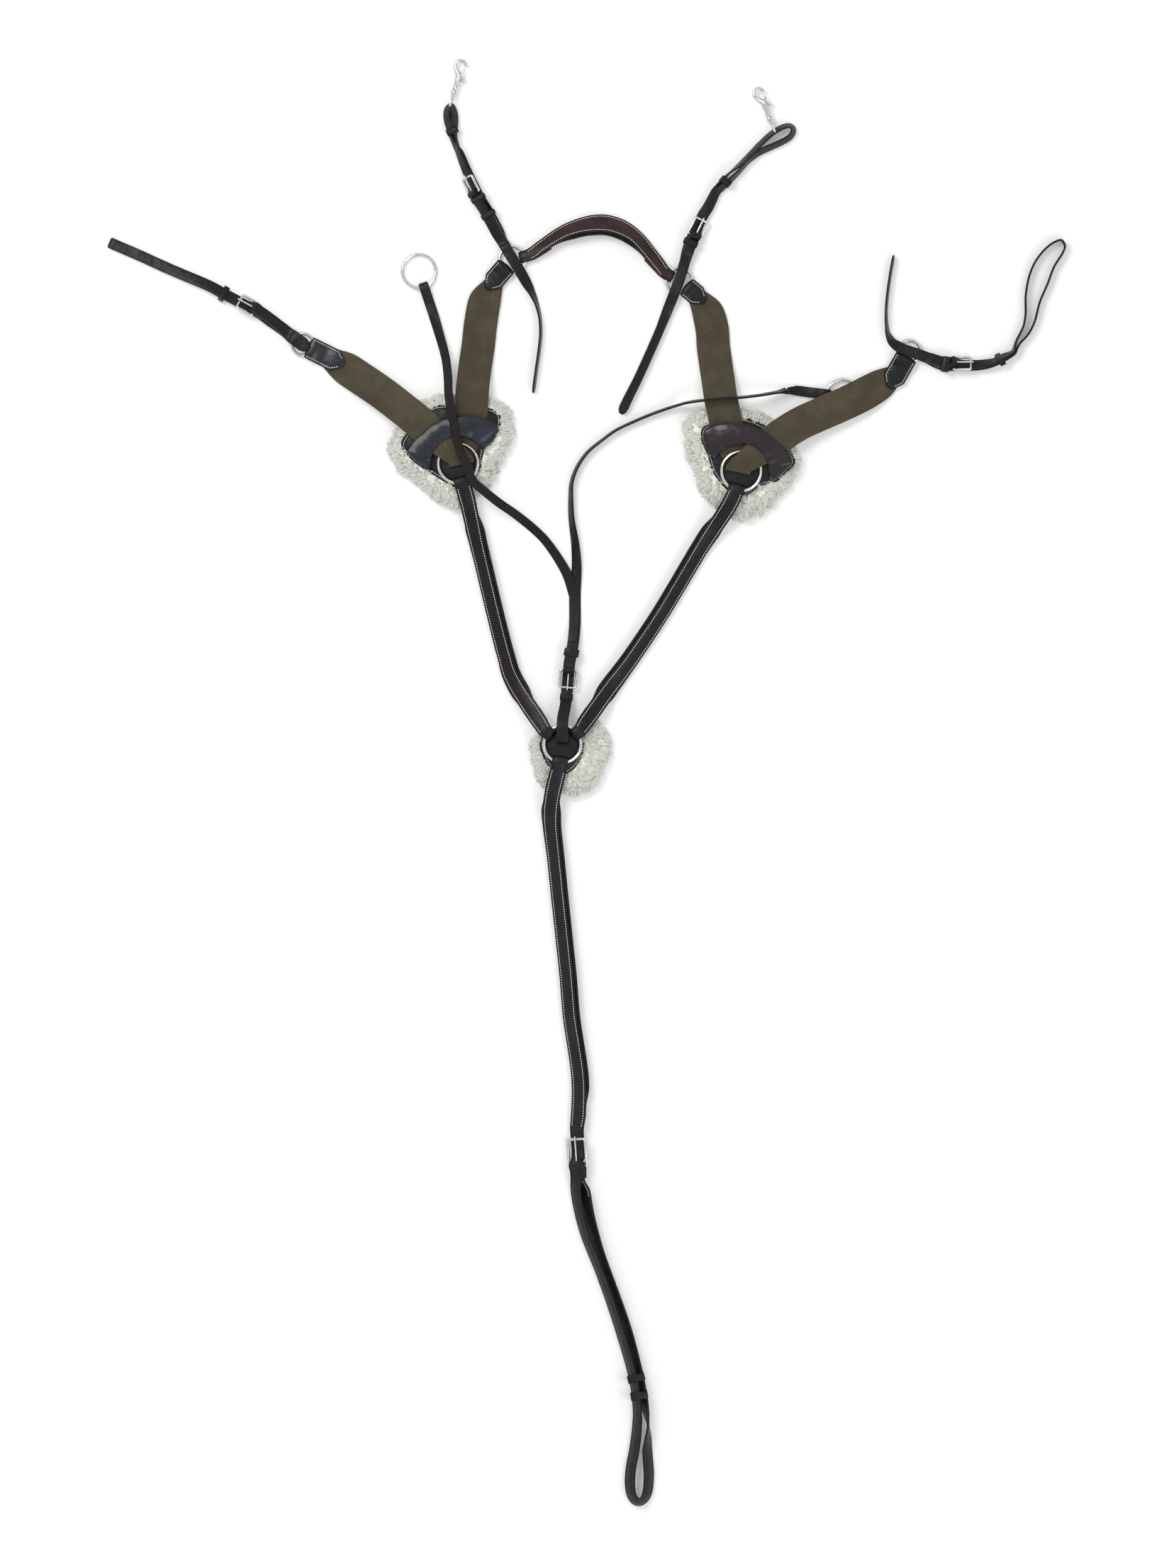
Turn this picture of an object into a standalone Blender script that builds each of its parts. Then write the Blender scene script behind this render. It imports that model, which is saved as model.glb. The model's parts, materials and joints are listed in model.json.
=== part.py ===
"""Five-point breastplate for a horse, laid out flat and seen from above.

World frame: +X to the right, +Y towards the withers, +Z up off the surface it lies on, with the origin on that
surface under the middle of the chest ring. Lengths here are in millimetres and angles in degrees.
A strap's route is a hand-chosen list of (x, y, clearance under its lowest edge, roll), where a positive roll lifts
the side that is on the left of the way the route runs.
"""

import math
from dataclasses import dataclass, replace

import bmesh
import bpy
from mathutils import Vector

MM = 0.001
UP = Vector((0, 0, 1))

# Leather, elastic and wire stock
GAP = 0.3
STRAP_WIDTH = 20.0
STRAP_THICK = 2.8
BILLET_WIDTH = 18.0
LINING_OVERHANG = 2.5
LINING_THICK = 3.0
NARROW_WIDTH = 13.0
NARROW_THICK = 2.4
TAB_WIDTH = {"flank": 27.0, "wither": 25.0}
TAB_NECK = 15.0
TAB_THICK = 2.2
PLATE_THICK = 2.5
ARCH_WIDTH = 22.0
ARCH_RADIUS = 43.5
ELASTIC_WIDTH = 40.0
ELASTIC_FOLD_WIDTH = 30.0
ELASTIC_THICK = 2.0
FLEECE_HEIGHT = 18.0
KEEPER_WALL = 1.5
KEEPER_LENGTH = 9.0
TONGUE_SLOT = 4.4

# Rings: radius of the wire's centre line, and the wire's own radius
WIRE = 2.0
CHEST_RING = 22.0
SIDE_RING = 23.5
WITHER_RING = 15.5
FLANK_RING = 13.0
REIN_RING = 20.0
REIN_END_WIDTH = 12.0

# Buckles: wire radius, play beside the strap, and bar-to-bar length
NARROW_BAR = 1.3
WIDE_BAR = 1.5
BUCKLE_PLAY = 1.0
NARROW_BUCKLE = 21.0
WIDE_BUCKLE = 32.0
TONGUE = 1.0

# Heights that stack up from the surface
FLOOR = 0.9
PLATE_TOP = FLEECE_HEIGHT + GAP + PLATE_THICK
PAD_RING_Z = PLATE_TOP + GAP + STRAP_THICK + GAP + WIRE
LOW_RING_Z = FLOOR + NARROW_THICK + GAP + WIRE + 0.3
NARROW_PITCH = NARROW_THICK + GAP
BUCKLE_Z = 12.2
SNAP_Z = 10.4
ARCH_TOP = PAD_RING_Z + WIRE + GAP + ELASTIC_THICK + GAP + PLATE_THICK

# Ring centres on the surface
CHEST = Vector((0, 0, PAD_RING_Z))
SIDE = {"left": Vector((-125, 336, PAD_RING_Z)), "right": Vector((214, 327, PAD_RING_Z))}
WITHER = {"left": Vector((-60, 581, LOW_RING_Z)), "right": Vector((140, 555, LOW_RING_Z))}
FLANK = {"left": Vector((-311, 479, LOW_RING_Z)), "right": Vector((416, 471, LOW_RING_Z))}

# A martingale ring's wire bows inside the strap that holds it, so its loop is wider by this
REIN_BOW = (REIN_RING - math.sqrt(REIN_RING ** 2 - (REIN_END_WIDTH / 2) ** 2)) / 2
REIN_RISE = WIRE + REIN_BOW + GAP + NARROW_THICK / 2
REIN_Z = FLOOR + NARROW_THICK / 2 + REIN_RISE
REIN = {"left": Vector((-172, 567, REIN_Z)), "right": Vector((336, 417, REIN_Z))}


@dataclass
class Station:
    """One cross-section of a strap: its middle, its two directions and its half sizes."""

    place: Vector
    across: Vector
    up: Vector
    half: float
    thick: float


def clear_scene():
    for obj in list(bpy.data.objects):
        bpy.data.objects.remove(obj, do_unlink=True)


def material(name, colour, roughness, metallic=0.0):
    made = bpy.data.materials.new(name)
    made.use_nodes = True
    shader = made.node_tree.nodes["Principled BSDF"]
    shader.inputs["Base Color"].default_value = (*colour, 1)
    shader.inputs["Roughness"].default_value = roughness
    shader.inputs["Metallic"].default_value = metallic
    return made


def make_finishes():
    return {
        "leather": material("bridle_leather", (0.021, 0.017, 0.019), 0.42),
        "brown": material("brown_leather", (0.042, 0.024, 0.021), 0.4),
        "lining": material("padded_lining", (0.011, 0.016, 0.015), 0.6),
        "slate": material("patent_leather", (0.045, 0.053, 0.072), 0.22),
        "elastic": material("olive_elastic", (0.07, 0.056, 0.032), 0.9),
        "fleece": material("sheepskin", (0.76, 0.8, 0.68), 0.95),
        "steel": material("stainless_steel", (0.72, 0.72, 0.7), 0.15, 1.0),
    }


def add_object(name, bm, finish, origin=None, parent=None):
    """One named piece. Its mesh is given in world millimetres and kept about its origin."""
    origin = Vector(origin) if origin is not None else Vector((0, 0, 0))
    bmesh.ops.recalc_face_normals(bm, faces=bm.faces)
    if bm.calc_volume(signed=True) < 0:
        bmesh.ops.reverse_faces(bm, faces=bm.faces)
    for vert in bm.verts:
        vert.co = (vert.co - origin) * MM
    mesh = bpy.data.meshes.new(name)
    bm.to_mesh(mesh)
    bm.free()
    mesh.materials.append(FINISH[finish])
    obj = bpy.data.objects.new(name, mesh)
    bpy.context.scene.collection.objects.link(obj)
    obj.location = origin * MM
    if parent is not None:
        obj.parent = parent
        obj.location = origin * MM - world_origin(parent)
    return obj


def world_origin(obj):
    place = obj.location.copy()
    while obj.parent is not None:
        obj = obj.parent
        place += obj.location
    return place


def heading(degrees):
    return Vector((math.cos(math.radians(degrees)), math.sin(math.radians(degrees)), 0))


def angle_of(vector):
    return math.degrees(math.atan2(vector.y, vector.x))


def curve_point(before, start, end, after, share):
    """Catmull-Rom between start and end."""
    return 0.5 * (
        2 * start
        + (end - before) * share
        + (2 * before - 5 * start + 4 * end - after) * share ** 2
        + (3 * start - 3 * end + after - before) * share ** 3
    )


def smooth(points, spacing):
    """Points (place, roll) along a smooth curve through the given ones, about a spacing apart."""
    made = []
    last = len(points) - 1
    for i in range(last):
        four = [points[max(i - 1, 0)], points[i], points[i + 1], points[min(i + 2, last)]]
        steps = max(1, round((points[i + 1][0] - points[i][0]).length / spacing))
        for step in range(steps):
            share = step / steps
            place = curve_point(*[p[0] for p in four], share)
            made.append((place, points[i][1] + (points[i + 1][1] - points[i][1]) * share))
    made.append(points[-1])
    return made


def run(points, width, thick, spacing=16.0):
    """Stations along a curve through points (place, roll)."""
    return stations_on(smooth(points, spacing), width, thick)


def stations_on(spine, width, thick):
    made = []
    for i, (place, roll) in enumerate(spine):
        along = (spine[min(i + 1, len(spine) - 1)][0] - spine[max(i - 1, 0)][0]).normalized()
        level = Vector((-along.y, along.x, 0)).normalized()
        above = along.cross(level)
        tilt = math.radians(roll)
        across = level * math.cos(tilt) + above * math.sin(tilt)
        up = above * math.cos(tilt) - level * math.sin(tilt)
        made.append(Station(place, across, up, width / 2, thick / 2))
    return made


def laid(route, width, depth):
    """Spine points of a route, each lifted by the half of its tilted section."""
    points = []
    for x, y, clear, roll in route:
        tilt = math.radians(roll)
        lift = abs(math.sin(tilt)) * width / 2 + abs(math.cos(tilt)) * depth
        points.append((Vector((x, y, clear + lift)), roll))
    return points


def shifted(stations, lift, width=None, thick=None):
    """The same run, moved along its own normal, as a layer on or under it."""
    return [
        replace(
            station,
            place=station.place + station.up * lift,
            half=station.half if width is None else width / 2,
            thick=station.thick if thick is None else thick / 2,
        )
        for station in stations
    ]


def lengths(stations):
    """How far along the run each station lies."""
    far = [0.0]
    for before, station in zip(stations, stations[1:]):
        far.append(far[-1] + (station.place - before.place).length)
    return far


def part_of(stations, start, end):
    """The stations between two lengths along the run, with its two ends cut to measure."""
    far = lengths(stations)
    kept = [at_length(stations, start)]
    kept += [s for s, at in zip(stations, far) if start + 1.0 < at < end - 1.0]
    kept.append(at_length(stations, min(end, far[-1])))
    return kept


def at_length(stations, wanted):
    far = lengths(stations)
    for i in range(len(stations) - 1):
        if far[i + 1] >= wanted or i == len(stations) - 2:
            share = (wanted - far[i]) / (far[i + 1] - far[i])
            here, there = stations[i], stations[i + 1]
            return replace(
                here,
                place=here.place.lerp(there.place, share),
                across=here.across.lerp(there.across, share).normalized(),
                up=here.up.lerp(there.up, share).normalized(),
                half=here.half + (there.half - here.half) * share,
            )
    return stations[-1]


def pointed(stations, tip=9.0):
    """A billet's end, drawn in to a blunt point."""
    total = lengths(stations)[-1]
    body = part_of(stations, 0, total - tip)
    middle = at_length(stations, total - tip * 0.4)
    end = stations[-1]
    return body + [replace(middle, half=middle.half * 0.8), replace(end, half=end.half * 0.35)]


def fold(center, out, rise, width, thick, steps=6):
    """The turn of a strap round a wire at center, from under it to over it. The strap leaves along out."""
    across = UP.cross(out).normalized()
    made = []
    for step in range(steps + 1):
        turn = math.radians(-90 + 180 * step / steps)
        spoke = UP * math.sin(turn) - out * math.cos(turn)
        made.append(Station(center + spoke * rise, across, spoke, width / 2, thick / 2))
    return made


def corners(station, across, up):
    side = across * station.half
    face = up * station.thick
    middle = station.place
    return [middle + side + face, middle - side + face, middle - side - face, middle + side - face]


def band_mesh(stations):
    """A closed rectangular strap through its stations."""
    bm = bmesh.new()
    across = stations[0].across
    up = stations[0].up
    rings = []
    for station in stations:
        across = station.across if station.across.dot(across) > 0 else -station.across
        up = station.up if station.up.dot(up) > 0 else -station.up
        rings.append([bm.verts.new(corner) for corner in corners(station, across, up)])
    for here, there in zip(rings, rings[1:]):
        for i in range(4):
            bm.faces.new((here[i], here[(i + 1) % 4], there[(i + 1) % 4], there[i]))
    bm.faces.new(rings[0])
    bm.faces.new(rings[-1])
    return bm


def add_band(name, stations, finish, origin=None, parent=None):
    return add_object(name, band_mesh(stations), finish, origin, parent)


def wire_mesh(points, normal, radius, sides=6, closed=True):
    """A round wire bent in one plane."""
    bm = bmesh.new()
    count = len(points)
    rings = []
    for i, point in enumerate(points):
        before = points[i - 1] if closed or i else point
        after = points[(i + 1) % count] if closed or i < count - 1 else point
        side = (after - before).normalized().cross(normal).normalized()
        turns = [2 * math.pi * (j + 0.5) / sides for j in range(sides)]
        rings.append([bm.verts.new(point + radius * (side * math.cos(t) + normal * math.sin(t))) for t in turns])
    pairs = list(zip(rings, rings[1:]))
    if closed:
        pairs.append((rings[-1], rings[0]))
    else:
        bm.faces.new(rings[0])
        bm.faces.new(rings[-1])
    for here, there in pairs:
        for i in range(sides):
            bm.faces.new((here[i], here[(i + 1) % sides], there[(i + 1) % sides], there[i]))
    return bm


def add_ring(name, center, radius, wire=WIRE, count=20, parent=None):
    points = [center + heading(360 * i / count) * radius for i in range(count)]
    return add_object(name, wire_mesh(points, UP, wire), "steel", origin=center, parent=parent)


def rounded(outline, steps=2):
    """A closed outline through the given corners, with a smooth curve between them."""
    count = len(outline)
    made = []
    for i in range(count):
        four = [Vector((*outline[(i + j) % count], 0)) for j in (-1, 0, 1, 2)]
        made += [curve_point(*four, step / steps) for step in range(steps)]
    return made


def stacked_mesh(outline, levels):
    """A closed solid of one outline at several levels, each (height, how far it is drawn in)."""
    middle = sum(outline, Vector((0, 0, 0))) / len(outline)
    bm = bmesh.new()
    rings = []
    for height, inset in levels:
        ring = []
        for point in outline:
            spoke = point - middle
            drawn = middle + spoke * (1 - inset / spoke.length)
            ring.append(bm.verts.new((drawn.x, drawn.y, height)))
        rings.append(ring)
    for here, there in zip(rings, rings[1:]):
        for i in range(len(outline)):
            j = (i + 1) % len(outline)
            bm.faces.new((here[i], here[j], there[j], there[i]))
    bm.faces.new(rings[0])
    bm.faces.new(rings[-1])
    return bm


def sleeve_mesh(station, low, high, length=KEEPER_LENGTH, wall=KEEPER_WALL):
    """A keeper: a flat tube round a stack of straps, which reaches from low to high along the station's normal."""
    along = station.across.cross(station.up)
    inside = station.half + GAP + 0.2
    bm = bmesh.new()
    rings = []
    for end in (-length / 2, length / 2):
        for grow in (0.0, wall):
            corner = [(inside + grow, high + grow), (-inside - grow, high + grow)]
            corner += [(-inside - grow, low - grow), (inside + grow, low - grow)]
            middle = station.place + along * end
            rings.append([bm.verts.new(middle + station.across * a + station.up * b) for a, b in corner])
    inner, outer, far_inner, far_outer = rings
    for here, there in ((inner, outer), (outer, far_outer), (far_outer, far_inner), (far_inner, inner)):
        for i in range(4):
            j = (i + 1) % 4
            bm.faces.new((here[i], here[j], there[j], there[i]))
    return bm


def wrap(ring_center, radius, out, width, thick):
    """How a strap goes round a ring's wire: the fold, and the upper points of its slot."""
    rise = WIRE + GAP + thick / 2
    inner = math.sqrt((radius - WIRE) ** 2 - (width / 2) ** 2)
    center = ring_center + out * (inner - GAP + WIRE + GAP)
    slot_end = ring_center + out * (radius + WIRE + 1.2)
    return fold(center, out, rise, width, thick), center + UP * rise, slot_end + UP * rise, rise


def turned_back(stations, rise, slot, length, thick):
    """The strap's end, which lies back under it past the slot that holds the wire."""
    pitch = thick + GAP
    made = []
    back = part_of(stations, 0, length)
    for station, at in zip(back, lengths(back)):
        share = min(max((at - slot) / 12, 0), 1)
        made.append(replace(station, place=station.place - station.up * (2 * rise + (pitch - 2 * rise) * share)))
    return list(reversed(made))


def shaped(stations, profile):
    """The same run with its width following a profile of (length along the run, width)."""
    made = []
    for station, at in zip(stations, lengths(stations)):
        made.append(replace(station, half=between(profile, at) / 2))
    return made


def between(profile, at):
    """The value of a profile of (place, value) points, joined by straight lines, at a place."""
    points = sorted(profile)
    for (start, low), (end, high) in zip(points, points[1:]):
        if start <= at <= end:
            return low + (high - low) * (at - start) / (end - start)
    return points[0][1] if at < points[0][0] else points[-1][1]


def add_padding(name, upper, start, end, parent=None, origin=None):
    """The soft lining sewn under a strap, a little wider than it."""
    under = -(STRAP_THICK / 2 + GAP + 0.1 + LINING_THICK / 2)
    lining = []
    for station in shifted(part_of(upper, start, end), under, thick=LINING_THICK):
        lining.append(replace(station, half=station.half + LINING_OVERHANG))
    return add_band(name, lining, "lining", origin, parent)


# Outlines of the pads, about the middle of their ring

FLEECE = {
    "left": [(-44, 79), (-15, 85), (15, 84), (40, 81), (62, 70), (69, 46), (60, 14), (50, -11), (36, -32), (10, -52),
             (-10, -56), (-30, -45), (-55, -27), (-72, -10), (-85, 10), (-85, 28), (-74, 44), (-60, 62)],
    "right": [(-46, 76), (-62, 67), (-70, 52), (-66, 14), (-58, -4), (-52, -22), (-37, -42), (-14, -57), (6, -62),
              (28, -51), (46, -36), (60, -19), (72, 3), (71, 24), (60, 44), (44, 62), (20, 72), (-12, 78)],
    "chest": [(-29, 14), (-40, -2), (-38, -24), (-32, -41), (-20, -52), (10, -63), (33, -56), (48, -38), (59, -6),
              (53, 15), (44, 28), (20, 25), (-6, 20)],
}
PLATE = {
    "left": [(-35, 66), (-14, 71), (16, 69), (40, 66), (51, 58), (50, 42), (42, 27), (32, 16), (28, -4), (20, -22),
             (6, -31), (-12, -25), (-33, -12), (-50, -1), (-65, 14), (-68, 26), (-54, 46)],
    "right": [(-46, 53), (-48, 38), (-42, 22), (-35, 0), (-26, -14), (-12, -27), (2, -33), (20, -20), (43, -12),
              (58, 2), (65, 12), (56, 30), (40, 47), (22, 58), (2, 64), (-24, 60)],
    "chest": [(-27, 4), (-24, -14), (-14, -30), (0, -37), (14, -30), (24, -15), (27, 2), (21, 17), (6, 22), (-12, 20)],
}


def build_pad(name, place, key):
    """A sheepskin pad faced with a leather plate."""
    middle = Vector((place.x, place.y, 0))
    outline = [point + middle for point in rounded(FLEECE[key])]
    levels = [(0, 7), (4, 1), (9, 0), (14, 2), (FLEECE_HEIGHT, 8)]
    add_object(name + "_sheepskin", stacked_mesh(outline, levels), "fleece", origin=middle)
    outline = [point + middle for point in rounded(PLATE[key])]
    levels = [(FLEECE_HEIGHT + GAP, 0), (PLATE_TOP, 0)]
    add_object(name + "_leather", stacked_mesh(outline, levels), "leather", origin=middle)


# The arch of leather over each side ring: (angle about the ring, height of its underside)
PLATE_SEAT = PLATE_TOP + GAP
OVER_ELASTIC = ARCH_TOP - PLATE_THICK
ARCH = {
    "left": [(200, PLATE_SEAT), (191, PLATE_SEAT), (183, PLATE_SEAT + 4), (172, OVER_ELASTIC), (148, OVER_ELASTIC),
             (128, OVER_ELASTIC), (108, OVER_ELASTIC), (92, OVER_ELASTIC), (76, OVER_ELASTIC - 1),
             (60, OVER_ELASTIC - 3), (49, PLATE_SEAT + 6), (41, PLATE_SEAT + 4), (35, PLATE_SEAT + 1),
             (28, PLATE_SEAT)],
    "right": [(-18, PLATE_SEAT), (-9, PLATE_SEAT), (-2, PLATE_SEAT + 4), (9, OVER_ELASTIC), (32, OVER_ELASTIC),
              (52, OVER_ELASTIC), (72, OVER_ELASTIC), (90, OVER_ELASTIC), (106, OVER_ELASTIC - 1),
              (122, OVER_ELASTIC - 3), (133, PLATE_SEAT + 6), (141, PLATE_SEAT + 4), (147, PLATE_SEAT + 1),
              (154, PLATE_SEAT)],
}


def build_arch(side):
    center = Vector((SIDE[side].x, SIDE[side].y, 0))
    points = []
    for angle, height in ARCH[side]:
        points.append((center + heading(angle) * ARCH_RADIUS + UP * (height + PLATE_THICK / 2), 0))
    stations = run(points, ARCH_WIDTH, PLATE_THICK, spacing=9)
    add_band(f"{side}_side_arch", stations, "slate")


# Elastic legs beyond the fold, from near the ring to the tab: (x, y, height of the spine)
FLANK_LEG = {
    "left": [(-152, 368, 29.6), (-172, 386, 27), (-193, 403, 22.5), (-215, 420, 19.5), (-238, 436, 10),
             (-262, 452, 4.4)],
    "right": [(244, 356, 29.6), (264, 371, 27), (283, 383, 22.5), (304, 393, 18), (338, 408, 14.5), (364, 421, 10),
              (384, 433, 4.4)],
}
WITHER_LEG = {
    "left": [(-112, 378, 22.9), (-109, 402, 22.5), (-108, 421, 19.7), (-105, 450, 8), (-101, 478, 3.6), (-98, 505, 4.2),
             (-92, 534, 4.4)],
    "right": [(199, 370, 22.9), (194, 393, 22.3), (190, 412, 19.3), (186, 440, 8), (181, 476, 3.6), (179, 500, 4.2),
              (173, 520, 4.6)],
}
LEG_END = {("left", "flank"): (-288, 468, 4.4), ("right", "flank"): (402, 446, 4.4),
           ("left", "wither"): (-80, 556, 4.4), ("right", "wither"): (159, 540, 4.6)}
ELASTIC_FOLD_OFFSET = {"left": 4.0, "right": -4.0}


def leg_stations(side, kind, fold_place, fold_across, points):
    """One leg of an elastic, which leaves the fold slanting and narrows into its tab."""
    end = Vector(LEG_END[side, kind])
    spine = [(Vector(p), 0) for p in points]
    stations = run([(fold_place, 0), *spine, (end, 0)], ELASTIC_WIDTH, ELASTIC_THICK, spacing=24)
    far = lengths(stations)
    made = []
    for station, at in zip(stations, far):
        share = min(at / 46, 1)
        sign = 1 if station.across.dot(fold_across) > 0 else -1
        slant = fold_across * sign * ELASTIC_FOLD_WIDTH / 2
        arm = slant.lerp(station.across * ELASTIC_WIDTH / 2, share)
        narrow = min(max((far[-1] - at) / 26, 0), 1)
        half = arm.length * (0.5 + 0.5 * narrow)
        made.append(replace(station, across=arm.normalized(), up=UP if share < 1 else station.up, half=half))
    return made


def build_elastic(side):
    """One band: a leg to the flank over the ring, the fold through it, and a leg to the withers under it."""
    rise = WIRE + GAP + ELASTIC_THICK / 2
    flank_way = (Vector(FLANK_LEG[side][0]) - SIDE[side]).normalized()
    wither_way = (Vector(WITHER_LEG[side][0]) - SIDE[side]).normalized()
    out = flank_way + wither_way
    out = Vector((out.x, out.y, 0)).normalized()
    across = Vector((out.y, -out.x, 0))
    center = SIDE[side] + across * ELASTIC_FOLD_OFFSET[side] + out * 2
    upper = leg_stations(side, "flank", center + UP * rise, across, FLANK_LEG[side])
    lower = leg_stations(side, "wither", center - UP * rise, across, WITHER_LEG[side])
    turn = fold(center, out, rise, ELASTIC_FOLD_WIDTH, ELASTIC_THICK)
    add_band(f"{side}_elastic", lower[::-1] + turn[1:-1] + upper, "elastic")


# Tabs that join the elastics to the outer rings: the tip of each, on the surface
TAB_TIP = {("left", "flank"): (-262, 455), ("right", "flank"): (391, 427),
           ("left", "wither"): (-91, 546), ("right", "wither"): (171, 530)}


def build_tab(side, kind, ring, radius, parent=None):
    """A pointed leather tab folded round a ring, with the elastic's end between its two layers."""
    tip = Vector((*TAB_TIP[side, kind], 0))
    out = tip - Vector((ring.x, ring.y, 0))
    out.normalize()
    rise = WIRE + GAP + TAB_THICK / 2
    width = TAB_WIDTH[kind]
    inner = math.sqrt((radius - WIRE) ** 2 - (TAB_NECK / 2) ** 2)
    center = ring + out * (inner + WIRE)
    turn = fold(center, out, rise, TAB_NECK, TAB_THICK)
    leave = ring + out * (radius + WIRE + 1)
    opening = (ELASTIC_THICK + TAB_THICK) / 2 + GAP + 0.3
    middle_z = FLOOR + TAB_THICK / 2 + opening
    layers = []
    for sign in (1, -1):
        seat = Vector((0, 0, middle_z + sign * opening))
        shoulder = tip + (leave - tip).normalized() * 13
        shoulder.z = 0
        points = [(center + UP * rise * sign, TAB_NECK), (leave + UP * rise * sign, TAB_NECK + 3)]
        points += [(Vector((leave.x, leave.y, 0)) + out * 5 + seat, width), (shoulder + seat, width)]
        points.append((tip + seat, width * 0.3))
        across = UP.cross(out)
        layers.append([Station(p, across, UP, w / 2, TAB_THICK / 2) for p, w in points])
    upper, lower = layers
    add_band(f"{side}_{kind}_tab", lower[:0:-1] + turn + upper[1:], "slate" if kind == "flank" else "leather",
             parent=parent, origin=ring if parent else None)


# Routes of the padded straps, each from its ring
CHEST_ROUTE = {
    "left": [(-114, 292, 20.5, 4), (-109, 270, 8, 16), (-103, 243, FLOOR, 28), (-97, 218, FLOOR, 32),
             (-82, 155, FLOOR, 32), (-68, 101, FLOOR, 30), (-57, 72, 3, 20)],
    "right": [(199, 285, 22.5, -4), (186, 265, 11, -14), (165, 233, FLOOR, -30), (119, 156, FLOOR, -32),
              (80, 98, FLOOR, -30), (58, 69, 3, -20)],
}
CHEST_END = {"left": 142.0, "right": 38.0}
SIDE_END = {"left": 283.0, "right": 254.0}
CHEST_END_WIDTH = 16.0
WITHER_END_WIDTH = 14.0
WITHER_MIDDLE_WIDTH = 25.0
PAD_DEPTH = STRAP_THICK / 2 + GAP + LINING_THICK
TURN_BACK = 34.0
WITHER_ROUTE = [(-24, 597, FLOOR, -30), (-1, 612, FLOOR, -36), (23, 621, FLOOR, -34), (48, 624, FLOOR, -30),
                (69, 619, FLOOR, -34), (88, 607, FLOOR, -38), (106, 586, FLOOR, -30)]


def ring_end(ring, radius, direction, width, thick):
    """Where a strap turns round a ring: the fold, the top of it, the top past the wire, and its rise."""
    return wrap(ring, radius, heading(direction), width, thick)


def build_padded_strap(name, start, end, route, middle_width, finish):
    """A strap sewn round a ring at each end, with its lining. start and end: (ring, radius, direction, width)."""
    turn_a, top_a, slot_a, rise = ring_end(*start, STRAP_THICK)
    turn_b, top_b, slot_b, rise = ring_end(*end, STRAP_THICK)
    points = laid(route, middle_width + 2 * LINING_OVERHANG, PAD_DEPTH)
    upper = run([(top_a, 0), (slot_a, 0), *points, (slot_b, 0), (top_b, 0)], middle_width, STRAP_THICK)
    total = lengths(upper)[-1]
    if middle_width > STRAP_WIDTH:
        profile = [(0, start[3]), (total * 0.22, (start[3] + middle_width) / 2), (total * 0.45, middle_width)]
        profile += [(total * 0.6, middle_width), (total * 0.84, (end[3] + middle_width) / 2), (total, end[3])]
    else:
        profile = [(0, start[3]), (24, middle_width), (total - 24, middle_width), (total, end[3])]
    upper = shaped(upper, profile)
    head = turned_back(upper, rise, (slot_a - top_a).length, TURN_BACK, STRAP_THICK)
    tail = turned_back(upper[::-1], rise, (slot_b - top_b).length, TURN_BACK, STRAP_THICK)
    add_band(name, head + turn_a[1:-1] + upper + turn_b[-2:0:-1] + tail[::-1], finish)
    add_padding(name.replace("strap", "strap_lining"), upper, TURN_BACK + 2, total - TURN_BACK - 2)


def strand(trunk, knots, width, thick):
    """A layer that follows a trunk at changing lifts, given as knots (length along the trunk, lift). It turns where
    the trunk turns, so that all the layers of a stack stay parallel."""
    marks = lengths(trunk)
    made = []
    for knot, after in zip(knots, knots[1:]):
        made.append(lifted(trunk, *knot, width, thick))
        low, high = sorted((knot[0], after[0]))
        inner = [mark for mark in marks if low + 2 < mark < high - 2]
        for mark in inner if after[0] > knot[0] else reversed(inner):
            made.append(lifted(trunk, mark, between([knot, after], mark), width, thick))
    made.append(lifted(trunk, *knots[-1], width, thick))
    return made


def lifted(trunk, at, lift, width, thick):
    station = at_length(trunk, at)
    return replace(station, place=station.place + station.up * lift, half=width / 2, thick=thick / 2)


def bend(trunk, at, lift, radius, way, width, thick, steps=6):
    """A U-turn about a bar across the trunk, from under it to over it, bulging the way given as +1 or -1."""
    base = lifted(trunk, at, lift, width, thick)
    along = forward(trunk, at) * way
    made = []
    for step in range(1, steps):
        turn = math.radians(-90 + 180 * step / steps)
        spoke = base.up * math.sin(turn) + along * math.cos(turn)
        made.append(replace(base, place=base.place + spoke * radius, up=spoke))
    return made


def forward(trunk, at):
    return (at_length(trunk, at + 1.0).place - at_length(trunk, at - 1.0).place).normalized()


@dataclass
class Seat:
    """Where a buckle sits: the middle of its rear bar, the way to its front bar, and its own two directions."""

    place: Vector
    along: Vector
    across: Vector
    up: Vector

    def at(self, x, y, z):
        return self.place + self.along * x + self.across * y + self.up * z


def seat_at(trunk, at, lift, way):
    station = at_length(trunk, at)
    across = station.across
    along = forward(trunk, at) * way
    up = station.up
    along = (along - up * along.dot(up) - across * along.dot(across)).normalized()
    return Seat(station.place + up * lift, along, across, up)


def add_buckle(name, seat, strap_width, bar, length, parent):
    """A wire frame round the strap, with its rear bar through the seat."""
    half = strap_width / 2 + BUCKLE_PLAY + bar
    corner = BUCKLE_PLAY + bar - 0.2
    points = []
    for x, y, start in ((corner, corner - half, 180), (length - corner, corner - half, 270),
                        (length - corner, half - corner, 0), (corner, half - corner, 90)):
        for turn in (start, start + 45, start + 90):
            way = heading(turn)
            points.append(seat.at(x + corner * way.x, y + corner * way.y, 0))
    return add_object(name, wire_mesh(points, seat.up, bar), "steel", origin=seat.place, parent=parent)


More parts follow.
